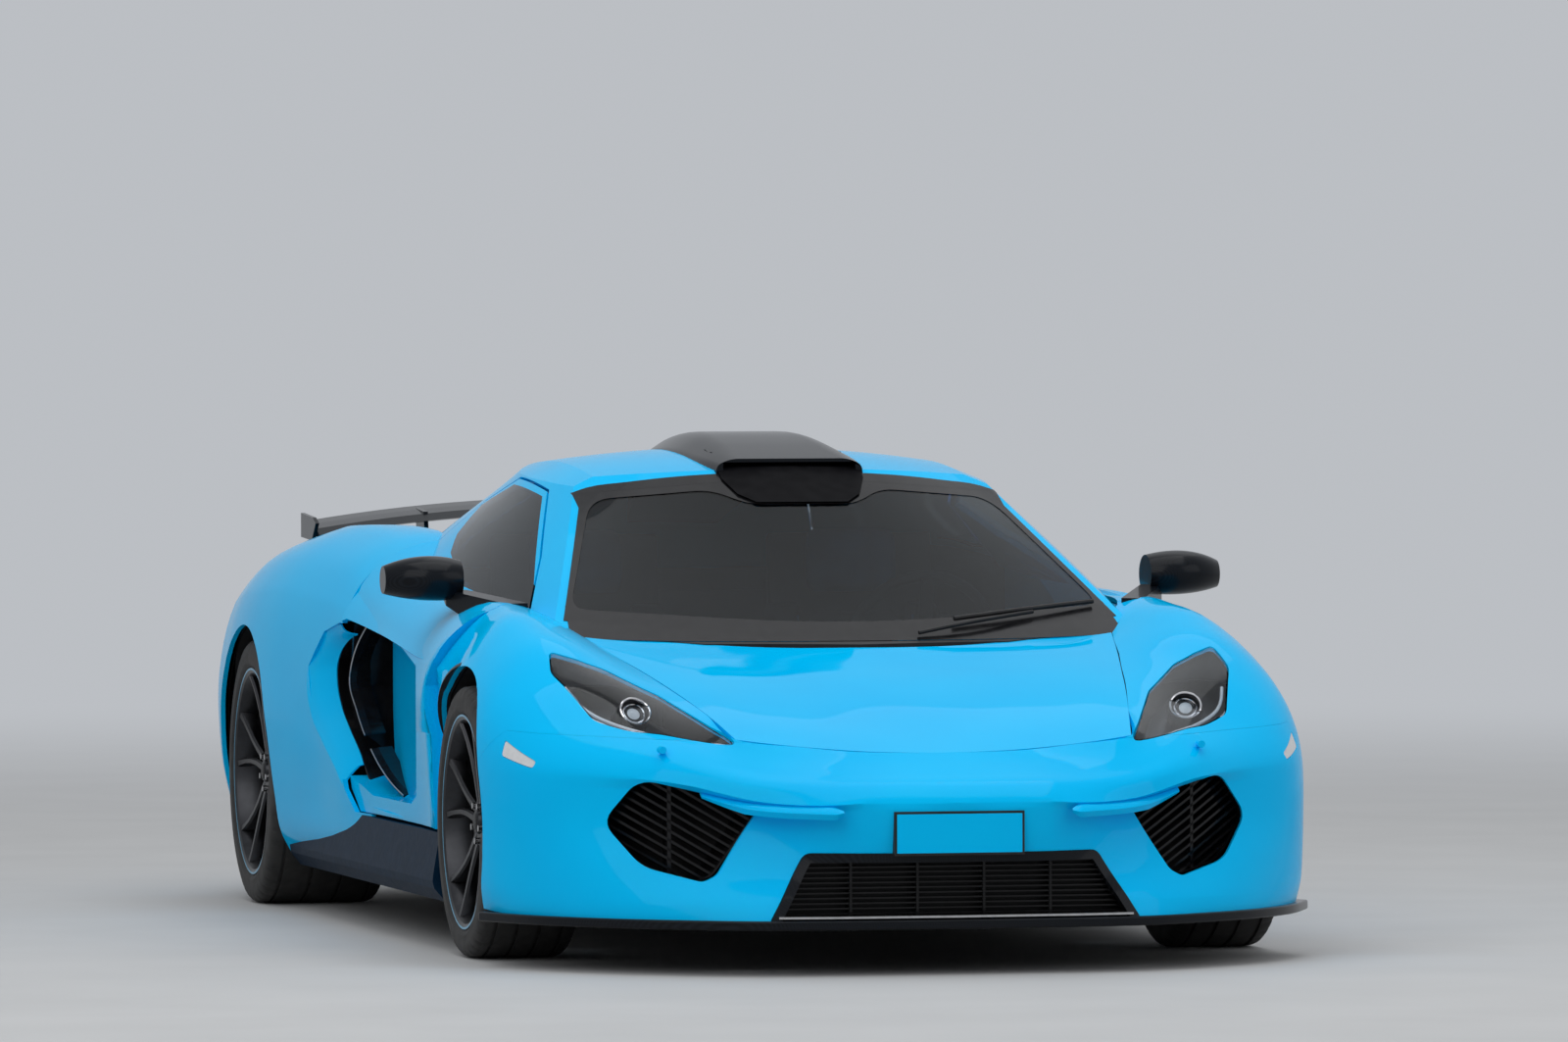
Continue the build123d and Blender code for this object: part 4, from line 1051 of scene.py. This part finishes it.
def make_frit():
    """Black border on the windscreen and black cover below it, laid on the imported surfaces."""
    clear = prism(rounded(WINDSCREEN_CLEAR, CLEAR_ROUND), 1, -1.4, 0.0)
    behind = block("behind", (-1, 1), (0.2, 2.5), (0.5, 1.5), "frit")
    glass = carve(node_copy("fixed_glass", "windscreen_frit", "frit", (0, -0.0012, 0.0012)), [clear, behind])
    place(smooth(glass, 30), "body", "glass")
    foot = prism(((-0.705, 0.7), (0.705, 0.7), (0.672, 0.835), (-0.672, 0.835)), 1, -1.4, -0.9)
    arc = smooth_line(ROOF_EDGE, 4)
    top = prism([*(tuple(p) for p in arc), (0.168, 1.22), (-0.168, 1.22), *flipped(arc[::-1]),
                 (-0.54, 1.06), (0.54, 1.06)], 1, -0.62, -0.24)
    for name, mat, space in (("windscreen_apron", "gloss_black", foot), ("windscreen_band", "frit", top)):
        strip = carve(node_copy("roof_frame", name, mat, (0, -0.0015, 0.0012)), [space], "INTERSECT")
        place(smooth(strip, 30), "body", "satin_black")
    # Near-black painted shade on the roof and glass inside the scoop's mouth
    chin = prism([*CHIN, *flipped(CHIN[::-1])], 1, -0.62, -0.3)
    parts = [carve(node_copy(node, "part", "painted_shade", (0, -0.005, 0.005)), [chin], "INTERSECT")
             for node in ("fixed_glass", "roof_frame")]
    place(merged("scoop_chin", *parts), "body", "satin_black")
    drop(clear, behind, foot, top, chin)


# ---------------------------------------------------------------- wheels and tyres
# Rim and tyre radius, hub place, outer rim plane, tyre width and disc radius of each axle
WHEELS = {"front": (0.264, 0.326, -1.225, 0.979, 0.245, 0.185), "rear": (0.277, 0.346, 1.445, 1.021, 0.325, 0.18)}
# How much narrower rim and tread are than the tyre, and the notches in the tread's shoulder
TYRE_INSET = 0.012
NOTCH_DEPTH = 0.0035
SPOKES = 5
# Half of the tyre's section: width and height over the rim, then width and depth under the tread
TYRE_FOOT = ((.0125, -.0135), (0, -.002), (-.0055, .006), (-.0058, .012), (-.0045, .02), (-.0052, .028))
TYRE_SHOULDER = ((-.004, .024), (-.0005, .012), (.006, .005), (.013, .002), (.028, 0))
# One fork of a spoke pair, out from the hub: radius, sideways, half width, face depth, back depth
FORK = ((.04, .012, .01, .04, .06), (.07, .015, .011, .036, .06), (.11, .02, .01, .031, .059),
        (.15, .03, .0095, .025, .054), (.19, .046, .0095, .018, .048), (.216, .059, .0105, .012, .044),
        (.236, .07, .012, .006, .042))


def mount(obj, end, side, angle):
    """Move a rim or tyre from the origin to its axle's place."""
    _, tyre_r, axle_y, face, _, _ = WHEELS[end]
    obj.data.transform(Matrix.Translation((side * face, axle_y, tyre_r)) @ Matrix.Diagonal((-side, 1, 1, 1)))
    fix_normals(obj)
    smooth(obj, angle)


def make_wheel(end, name, side):
    """Forged rim with five forked spokes, blue lip line, bolts and brake disc."""
    rim_r, _, _, _, width, disc_r = WHEELS[end]
    width -= TYRE_INSET
    stretch = (rim_r - 0.026) / 0.238
    barrel = lathe("barrel", [(x, rim_r + rise) for x, rise in (
        (0.004, -0.003), (0.0, -0.006), (0.0, -0.012), (0.004, -0.019), (0.018, -0.026), (0.05, -0.034),
        (0.08, -0.037), (width - 0.05, -0.037), (width - 0.004, -0.019), (width, -0.01), (width - 0.004, -0.003),
        (width - 0.012, -0.014), (width - 0.06, -0.03), (0.07, -0.03), (0.016, -0.013))], "wheel_black", 160)
    line = lathe("line", [(x, rim_r + rise) for x, rise in (
        (-0.0006, -0.0115), (-0.0006, -0.0065), (0.001, -0.0065), (0.001, -0.0115))], "wheel_line", 160)
    parts = [barrel, line]
    for k in range(SPOKES):
        angle = math.pi / 2 + 2 * math.pi * k / SPOKES
        for fork in (1, -1):
            sections = []
            for radius, across, half, front, back in FORK:
                radius *= stretch
                ring = ((across - half, back), (across - half, front + 0.006), (across - half + 0.004, front),
                        (across + half - 0.004, front), (across + half, front + 0.006), (across + half, back))
                sections.append([(depth, radius * math.cos(angle) - fork * b * math.sin(angle),
                                  radius * math.sin(angle) + fork * b * math.cos(angle)) for b, depth in ring])
            parts.append(smooth(sweep("fork", sections, "wheel_black"), 30))
        spot = (0.046 * math.cos(angle + math.pi / SPOKES), 0.046 * math.sin(angle + math.pi / SPOKES))
        bolt = cylinder(0, spot, 0.008, 0.028, 0.045, 12)
        parts.append(tinted(bolt, "steel"))
    hub = lathe("hub", ((0.128, 0.004), (0.03, 0.004), (0.03, 0.024), (0.033, 0.028), (0.04, 0.03),
                        (0.04, 0.056), (0.046, 0.062), (0.06, 0.064), (0.082, 0.07), (0.128, 0.07)),
                "wheel_black", 64)
    cap = lathe("cap", ((0.031, 0.001), (0.0275, 0.001), (0.0275, 0.018), (0.0295, 0.0215), (0.031, 0.0215)),
                "satin_black", 48)
    disc = lathe("disc", ((0.084, 0.066), (0.084, disc_r - 0.001), (0.085, disc_r), (0.113, disc_r),
                          (0.114, disc_r - 0.001), (0.114, 0.066)), "steel", 128)
    parts += [smooth(hub, 30), smooth(cap, 30), disc]
    wheel = merged(f"rim_{end}_{name}_dressed", *parts)
    mount(wheel, end, side, 30)
    place(wheel, f"wheel_{end}_{name}", "wheel", f"rim_{end}_{name}")


def make_tyre(end, name, side):
    """Tyre with a rim guard, round shoulders, four grooves and notched shoulder blocks."""
    rim_r, tyre_r, _, _, width, _ = WHEELS[end]
    half = [(x, rim_r + rise) for x, rise in TYRE_FOOT] + [(x, tyre_r - fall) for x, fall in TYRE_SHOULDER]
    groove = []
    width -= TYRE_INSET
    inner_edge = width - 0.028
    for at in np.linspace(0.036, inner_edge - 0.008, 4):
        groove += [(at + x, tyre_r - deep) for x, deep in ((-0.0045, 0), (-0.0035, 0.006), (0.0035, 0.006),
                                                           (0.0045, 0))]
    mirrored = [(width - x, r) for x, r in reversed(half)]
    profile = half + groove + mirrored
    shoulder = {7, 8, 9, len(profile) - 8, len(profile) - 9, len(profile) - 10}

    def dent(i, k):
        return NOTCH_DEPTH if i in shoulder and k % 6 == 0 else 0.0

    tyre = lathe(f"tyre_{end}_{name}_dressed", profile, "rubber", 300, dent)
    mount(tyre, end, side, 35)
    place(tyre, f"wheel_{end}_{name}", "tyre", f"tyre_{end}_{name}")


# ---------------------------------------------------------------- nose details
PROJECTOR_AT = (0.672, -1.754, 0.598)
PROJECTOR_SCALE = 0.92
LIGHT_STRIP = ((.505, -1.965, .52), (.6, -1.885, .541), (.69, -1.808, .562), (.755, -1.73, .59), (.8, -1.61, .64))


def make_headlamps(whole):
    """Dark floor, projector with two chrome rings, light strip, clear lens, and the marker lamp's lens."""
    edge = rounded(HEADLAMP_EDGE, 0.02)
    lens = lifted("lens", whole, -0.001, 0.0035, "lens")
    floor = lifted("floor", whole, -0.066, 0.006, "lamp_dark")
    for name, side in SIDES:
        outline = on_side(edge, side)
        fit = prism(grown(outline, -HALF_GAP), 2, *LAMP_SPAN)
        place(smooth(cut_from(lens, f"headlamp_lens_{name}", fit), 30), "body", "lens")
        base = cut_from(floor, "base", fit)
        socket = lathe("socket", ((0.0, 0.001), (0.0, 0.034), (-0.012, 0.04), (-0.012, 0.044), (0.05, 0.046),
                                  (0.05, 0.001)), "lamp_dark", 64)
        ring = lathe("ring", ((-0.016, 0.0375), (-0.018, 0.04), (-0.016, 0.0425), (-0.008, 0.0425),
                              (-0.008, 0.0375)), "chrome", 64)
        inner_ring = lathe("ring", ((-0.004, 0.026), (-0.006, 0.028), (-0.004, 0.031), (0.002, 0.031), (0.002, 0.026)),
                           "chrome", 64)
        ball = lathe("ball", [(0.02 - 0.026 * math.cos(a), max(0.0005, 0.027 * math.sin(a)))
                              for a in np.linspace(0, math.pi / 2, 9)] + [(0.03, 0.027), (0.03, 0.0005)],
                     "lamp_clear", 48)
        x, y, z = PROJECTOR_AT
        aim = Matrix.Translation((side * x, y, z))
        for degrees, axis in ((-side * 12, "Z"), (-35, "X"), (90, "Z")):
            aim = aim @ Matrix.Rotation(math.radians(degrees), 4, axis)
        for part in (socket, ring, inner_ring, ball):
            part.data.transform(aim @ Matrix.Scale(PROJECTOR_SCALE, 4))
            smooth(part, 40)
        strip = tube("strip", [(side * a, b, c) for a, b, c in LIGHT_STRIP], 0.0045, "lamp_clear")
        lamp = merged(f"headlamp_{name}_dressed", base, socket, ring, inner_ring, ball, strip)
        fix_normals(lamp)
        place(smooth(lamp, 35), "body", "lamp", *once(side, "headlamps"))
        drop(fit)
        outline = rounded(MARKER_EDGE, 0.008)
        window = side_prism(grown(outline, -0.0015), side, MARKER_INNER)
        marker = smooth(tinted(cut_from(lens, f"marker_lens_{name}", window), "marker"), 30)
        place(marker, "body", "lens", *once(side, "headlamp_lenses"))
        drop(window)
    drop(lens, floor)


# Front edge of the blade over each corner intake, and of its root inside the skin
BROW_FRONT = ((.274, -2.236, .384), (.29, -2.236, .385), (.34, -2.214, .387), (.4, -2.184, .389), (.45, -2.156, .393),
              (.51, -2.112, .402), (.575, -2.066, .418))
BROW_ROOT = ((.3, -2.205, .397), (.31, -2.195, .401), (.355, -2.17, .405), (.41, -2.14, .408), (.455, -2.105, .411),
             (.515, -2.065, .42), (.575, -2.03, .434))


def make_nose_trim():
    """Brow blades, intake ducts, blank plate, washers and a thin steel lip."""
    front = smooth_line(BROW_FRONT, 5)
    root = smooth_line(BROW_ROOT, 5)
    for name, side in SIDES:
        sections = []
        for i, (a, b) in enumerate(zip(front, root)):
            taper = min(1.0, 0.4 + i / 10) * min(1.0, 0.3 + (len(front) - 1 - i) / 10)
            drop_z = np.array((0, 0, -0.028 * taper))
            nose = a + np.array((0, -0.002, -0.009 * taper))
            ring = (b, a + np.array((0, 0.004, 0.001)), nose, a + np.array((0, 0.006, -0.022 * taper)), b + drop_z)
            sections.append([(side * p[0], p[1], p[2]) for p in ring])
        brow = sweep(f"brow_{name}", sections, "paint")
        place(smooth(brow, 50), "body", "paint")
        outline = on_side(rounded(CORNER_INTAKE, CORNER_ROUND), side)
        wall = prism(grown(outline, 0.004), 1, -2.2, -1.8)
        tinted(wall, "gloss_black", f"intake_duct_{name}")
        hole = prism(outline, 1, -2.3, -1.7)
        front_space = prism([(side * a, b) for a, b in ((0.3, -2.135), (0.44, -2.08), (0.62, -1.985), (0.79, -1.87),
                                                         (0.9, -1.75), (0.9, -2.4), (0.3, -2.4))], 2, 0, 0.6)
        carve(wall, [hole, front_space])
        finish_panel(wall, "body", "gloss_black")
        drop(hole, front_space)
    holder = block("plate_holder", (-0.156, 0.156), (-2.2435, -2.21), (0.279, 0.382), "satin_black")
    plate = block("plate_blank", (-0.15, 0.15), (-2.2465, -2.2435), (0.285, 0.376), "paint")
    place(soften(merged("plate", holder, plate), 0.0012), "body", "paint")
    lip = sweep("lower_lip", [[(x, y, 0.1325), (x, y - 0.01, 0.1345), (x, y - 0.01, 0.1395), (x, y, 0.142)]
                              for x, y in ((-0.425, -2.206), (-0.3, -2.226), (0, -2.237), (0.3, -2.226),
                                           (0.425, -2.206))], "steel")
    place(lip, "body", "chrome")
    for name, side in SIDES:
        washer = tinted(cylinder(1, (side * 0.651, 0.522), 0.009, -1.985, -1.96, 24), "paint", f"washer_{name}")
        place(soften(washer, 0.001), "body", "paint")


# ---------------------------------------------------------------- grilles, scoop and cabin
SLAT_COUNT = 13
SLAT_PITCH = 0.019
SLAT_TILT = 32
# Outer edge of the splitter in plan, on the left side
SPLITTER_EDGE = ((0, -2.251), (.22, -2.247), (.32, -2.241), (.45, -2.22), (.632, -2.116), (.795, -1.979), (.922, -1.81),
                 (.99, -1.665), (1.016, -1.6))
SPLITTER_Z = (0.108, 0.13)
# Plan of the slat packs behind each corner intake, on the left side
SLAT_PLAN = ((.3, -2.12), (.44, -2.066), (.62, -1.971), (.79, -1.856), (.9, -1.735), (.9, -1.69), (.79, -1.805),
             (.62, -1.92), (.44, -2.015), (.3, -2.07))
# Roof scoop, one row a section: y, half width of the top and of the foot, top, shoulder and foot heights
ROOF_SCOOP = (
    (-.455, .148, .186, 1.183, .016, 1.12),
    (-.33, .145, .198, 1.203, .026, 1.12),
    (-.2, .14, .203, 1.222, .036, 1.12),
    (0, .133, .204, 1.242, .044, 1.13),
    (.35, .122, .19, 1.236, .046, 1.13),
    (.65, .103, .158, 1.2, .04, 1.08),
    (.93, .08, .12, 1.15, .032, 1),
)
SCOOP_MOUTH = ((-.52, 1.1), (-.52, 1.171), (-.455, 1.174), (-.23, 1.204), (-.23, 1.1))


def make_grilles():
    """Slanted slats and a strut in each corner intake, slats of the lower intake and mesh in the tail."""
    for name, side in SIDES:
        outline = rounded(CORNER_INTAKE, CORNER_ROUND)
        room = prism(grown(outline, 0.003), 1, -2.3, -1.6)
        plan = prism(SLAT_PLAN, 2, 0, 0.6)
        slats = []
        for k in range(SLAT_COUNT):
            lift = (k - (SLAT_COUNT - 1) / 2) * SLAT_PITCH
            slat = block("slat", (-0.25, 0.25), (-2.3, -1.6), (lift - 0.003, lift + 0.003), "gloss_black")
            tilt = Matrix.Rotation(math.radians(-SLAT_TILT), 4, "Y")
            slat.data.transform(Matrix.Translation((0.6, 0, 0.335)) @ tilt)
            slats.append(slat)
        strut = block("slat", (0.628, 0.636), (-2.3, -1.6), (0.1, 0.6), "gloss_black")
        for piece in (*slats, strut):
            carve(piece, [plan, room], "INTERSECT")
        pack = merged(f"corner_slats_{name}", *slats, strut)
        pack.data.transform(Matrix.Diagonal((side, 1, 1, 1)))
        fix_normals(pack)
        place(pack, "body", "gloss_black", *once(side, "grilles"))
        drop(room, plan)
        backing = prism([(side * a, b + 0.11) for a, b in ((0.42, -2.03), (0.62, -1.935), (0.79, -1.82), (0.79, -1.815),
                                                            (0.62, -1.93), (0.42, -2.025))], 2, 0.19, 0.47)
        place(tinted(backing, "satin_black", f"corner_backing_{name}"), "body", "satin_black")
    bars = [block("bar", (-half, half), (-2.15, -2.12), (z - 0.0018, z + 0.0018), "gloss_black")
            for z, half in ((0.262 - 0.012 * k, 0.352 + 0.0068 * k) for k in range(11))]
    bars += [block("bar", (x - 0.003, x + 0.003), (-2.154, -2.12), (0.13, 0.268), "gloss_black")
             for x in (-0.24, -0.08, 0.08, 0.24)]
    place(merged("lower_slats", *bars), "body", "gloss_black")
    tail = [block("bar", (-0.635, 0.635), (2.175, 2.185), (z - 0.002, z + 0.002), "gloss_black")
            for z in np.linspace(0.572, 0.69, 8)]
    tail += [block("bar", (x - 0.002, x + 0.002), (2.173, 2.183), (0.562, 0.698), "gloss_black")
             for x in np.linspace(-0.6, 0.6, 25) if abs(x) > 0.19]
    tail.append(block("bar", (-0.66, 0.66), (2.08, 2.09), (0.555, 0.705), "satin_black"))
    place(merged("tail_mesh", *tail), "body", "gloss_black")


def make_tail(rear):
    """Exhaust tips, and tail lamps in the rear skin: dark trough, red light bar and a clear cover."""
    cover = lifted("cover", rear, 0.001, 0.003, "lens", flip=True)
    bar = lifted("bar", rear, 0.006, 0.01, "lamp_red", flip=True)
    trough = lifted("trough", rear, 0.018, 0.006, "lamp_dark", flip=True)
    for name, side in SIDES:
        tip = lathe("tip", ((0, 0.047), (0, 0.052), (-0.06, 0.054), (-0.062, 0.051), (-0.06, 0.047)), "steel", 64)
        turn = Matrix.Rotation(math.radians(-90), 4, "Z")
        tip.data.transform(Matrix.Translation((side * 0.095, 2.186, 0.63)) @ turn)
        fix_normals(tip)
        smooth(tip, 40)
        tip.name = f"exhaust_tip_{name}"
        place(tip, "body", "chrome")
        outline = on_side(TAIL_LAMP, side)
        pieces = []
        for source, shrink in ((bar, -0.005), (trough, 0.001)):
            window = prism(grown(outline, shrink), 1, *TAIL_SPAN)
            pieces.append(cut_from(source, "piece", window))
            drop(window)
        lamp = smooth(merged(f"tail_lamp_{name}_dressed", *pieces), 30)
        place(lamp, "body", "red_lens", *once(side, "tail_lamps"))
        window = prism(grown(outline, -0.001), 1, *TAIL_SPAN)
        place(smooth(cut_from(cover, f"tail_cover_{name}", window), 30), "body", "lens")
        drop(window)
    drop(cover, bar, trough)


def make_splitter(front):
    """Blade under the nose and a frame round the lower intake that follows the skin."""
    edge = smooth_line(SPLITTER_EDGE, 5)
    outer = flipped(edge[::-1]) + [tuple(p) for p in edge[1:]]
    inner = [(0.94 * x, y + 0.13) for x, y in outer[::-1]]
    blade = smooth(tinted(prism(outer + inner, 2, *SPLITTER_Z), "carbon", "splitter_blade"), 30)
    place(soften(blade, 0.004), "body", "gloss_black", "splitter")
    hole = rounded(LOWER_INTAKE, 0.01)
    frame_body = lifted("intake_frame", front, 0.004, 0.034, "carbon")
    outside = prism(grown(hole, 0.011), 1, *NOSE_SPAN)
    inside = prism(grown(hole, -0.01), 1, *NOSE_SPAN)
    smooth(carve(carve(frame_body, [outside], "INTERSECT"), [inside]), 30)
    place(soften(frame_body, 0.002), "body", "gloss_black")
    backing = block("intake_backing", (-0.43, 0.43), (-2.112, -2.104), (0.128, 0.282), "satin_black")
    place(backing, "body", "satin_black")
    drop(outside, inside)


def make_scoop():
    """Roof scoop with round shoulders and an open mouth."""
    table = smooth_line(ROOF_SCOOP, 5)
    sections = []
    for y, top, foot, high, shoulder, low in table:
        ring = rounded(((-foot, low), (-foot, high - shoulder), (-top, high), (top, high), (foot, high - shoulder),
                        (foot, low)), (0.002, 0.016, 0.03, 0.03, 0.016, 0.002))
        sections.append([(x, y, z) for x, z in ring])
    scoop = sweep("roof_scoop_dressed", sections, "carbon")
    mouth = prism(SCOOP_MOUTH, 0, -0.168, 0.168)
    carve(scoop, [mouth])
    drop(mouth)
    smooth(scoop, 32)
    place(soften(scoop, 0.002), "body", "gloss_black", "roof_scoop")
    # Near-black block at the back of the mouth: painted shade inside the scoop
    floor = block("scoop_floor", (-0.166, 0.166), (-0.3, -0.235), (1.12, 1.198), "painted_shade")
    place(floor, "body", "satin_black")


def cushion(name, x, line, half_width, half_thick, mat, channels=0):
    """Crowned closed cushion along a side-view line, with round ends, drawn in at its sewn channels."""
    path = smooth_line([(x, *p) for p in line], 10)
    run = np.concatenate(([0], np.cumsum(np.linalg.norm(np.diff(path, axis=0), axis=1))))
    sections = []
    for i, (centre, share) in enumerate(zip(path, run / run[-1])):
        ahead = path[min(i + 1, len(path) - 1)] - path[max(i - 1, 0)]
        up = np.array((0, ahead[2], -ahead[1])) / np.linalg.norm(ahead)
        end = math.sqrt(max(0.004, 1 - abs(2 * share - 1) ** 5))
        seam = 1 - 0.22 * abs(math.cos(math.pi * channels * share)) ** 10 if channels else 1
        ring = []
        for k in range(28):
            c, q = math.cos(2 * math.pi * k / 28), math.sin(2 * math.pi * k / 28)
            across = half_width * (0.8 + 0.2 * end) * math.copysign(abs(c) ** 0.6, c)
            ring.append(tuple(centre + np.array((across, 0, 0))
                              + up * half_thick * end * seam * math.copysign(abs(q) ** 0.8, q)))
        sections.append(ring)
    return smooth(sweep(name, sections, mat), 60)


SEAT_X = 0.36
SEAT_HALF = 0.215
SEAT_SHELL = ((-.142, .175), (-.146, .262), (.225, .25), (.315, .4), (.425, .78), (.442, .985), (.478, .975),
              (.474, .8), (.415, .5), (.34, .175))


def make_seats():
    """High-backed seats: hard shell, cushions with sewn channels, bolsters and blue accents."""
    for name, side in SIDES:
        x = side * SEAT_X
        shell = prism(rounded(SEAT_SHELL, 0.03), 0, x - SEAT_HALF, x + SEAT_HALF)
        smooth(tinted(shell, "satin_black", f"seat_shell_{name}"), 30)
        place(soften(shell, 0.02, 3), "body", "satin_black")
        pads = [cushion("pad", x, ((-0.14, 0.3), (-0.04, 0.296), (0.1, 0.286), (0.225, 0.29)), 0.15, 0.046,
                        "leather", 5),
                cushion("pad", x, ((0.292, 0.37), (0.33, 0.49), (0.374, 0.64), (0.408, 0.78)), 0.128, 0.04,
                        "leather", 6),
                cushion("pad", x, ((0.42, 0.83), (0.43, 0.9), (0.44, 0.99)), 0.118, 0.034, "leather_blue")]
        for offset in (-0.19, 0.19):
            pads += [cushion("pad", x + offset, ((-0.135, 0.302), (0.0, 0.308), (0.12, 0.306), (0.215, 0.33)), 0.044,
                             0.052, "leather"),
                     cushion("pad", x + offset * 0.96, ((0.29, 0.4), (0.335, 0.52), (0.385, 0.66), (0.428, 0.8)),
                             0.047, 0.05, "leather"),
                     tube("piping", [(x + offset * 0.8, y - 0.036, z) for y, z in
                                     ((0.3, 0.41), (0.338, 0.52), (0.386, 0.66), (0.418, 0.77))], 0.004,
                          "leather_blue", 8)]
        seat = merged(f"seat_{name}_dressed", *pads)
        smooth(seat, 60)
        place(seat, "body", "leather", *once(side, "seats"))


def make_wiper():
    """Two-piece wiper parked at the foot of the windscreen."""
    arm = tube("arm", ((0.16, -1.165, 0.768), (0.3, -1.13, 0.792), (0.47, -1.062, 0.814)), 0.005, "satin_black", 8)
    blade = tube("blade", ((0.26, -1.115, 0.8), (0.47, -1.053, 0.822), (0.64, -0.985, 0.836)), 0.006,
                 "satin_black", 8)
    place(merged("wiper", arm, blade), "body", "satin_black")


# ---------------------------------------------------------------- build
make_camera()
make_materials()
make_studio()
finish_nodes()
make_front_skin()
make_rear_skin()
make_bonnet()
front_whole, rear_whole = both_halves(front_grid()), both_halves(rear_grid())
make_headlamps(front_whole)
make_mouths()
make_door_trim(front_whole)
make_linings(front_whole, rear_whole)
make_frit()
make_nose_trim()
make_grilles()
make_splitter(front_whole)
make_tail(rear_whole)
make_scoop()
make_seats()
make_wiper()
for end in WHEELS:
    for name, side in SIDES:
        make_wheel(end, name, side)
        make_tyre(end, name, side)
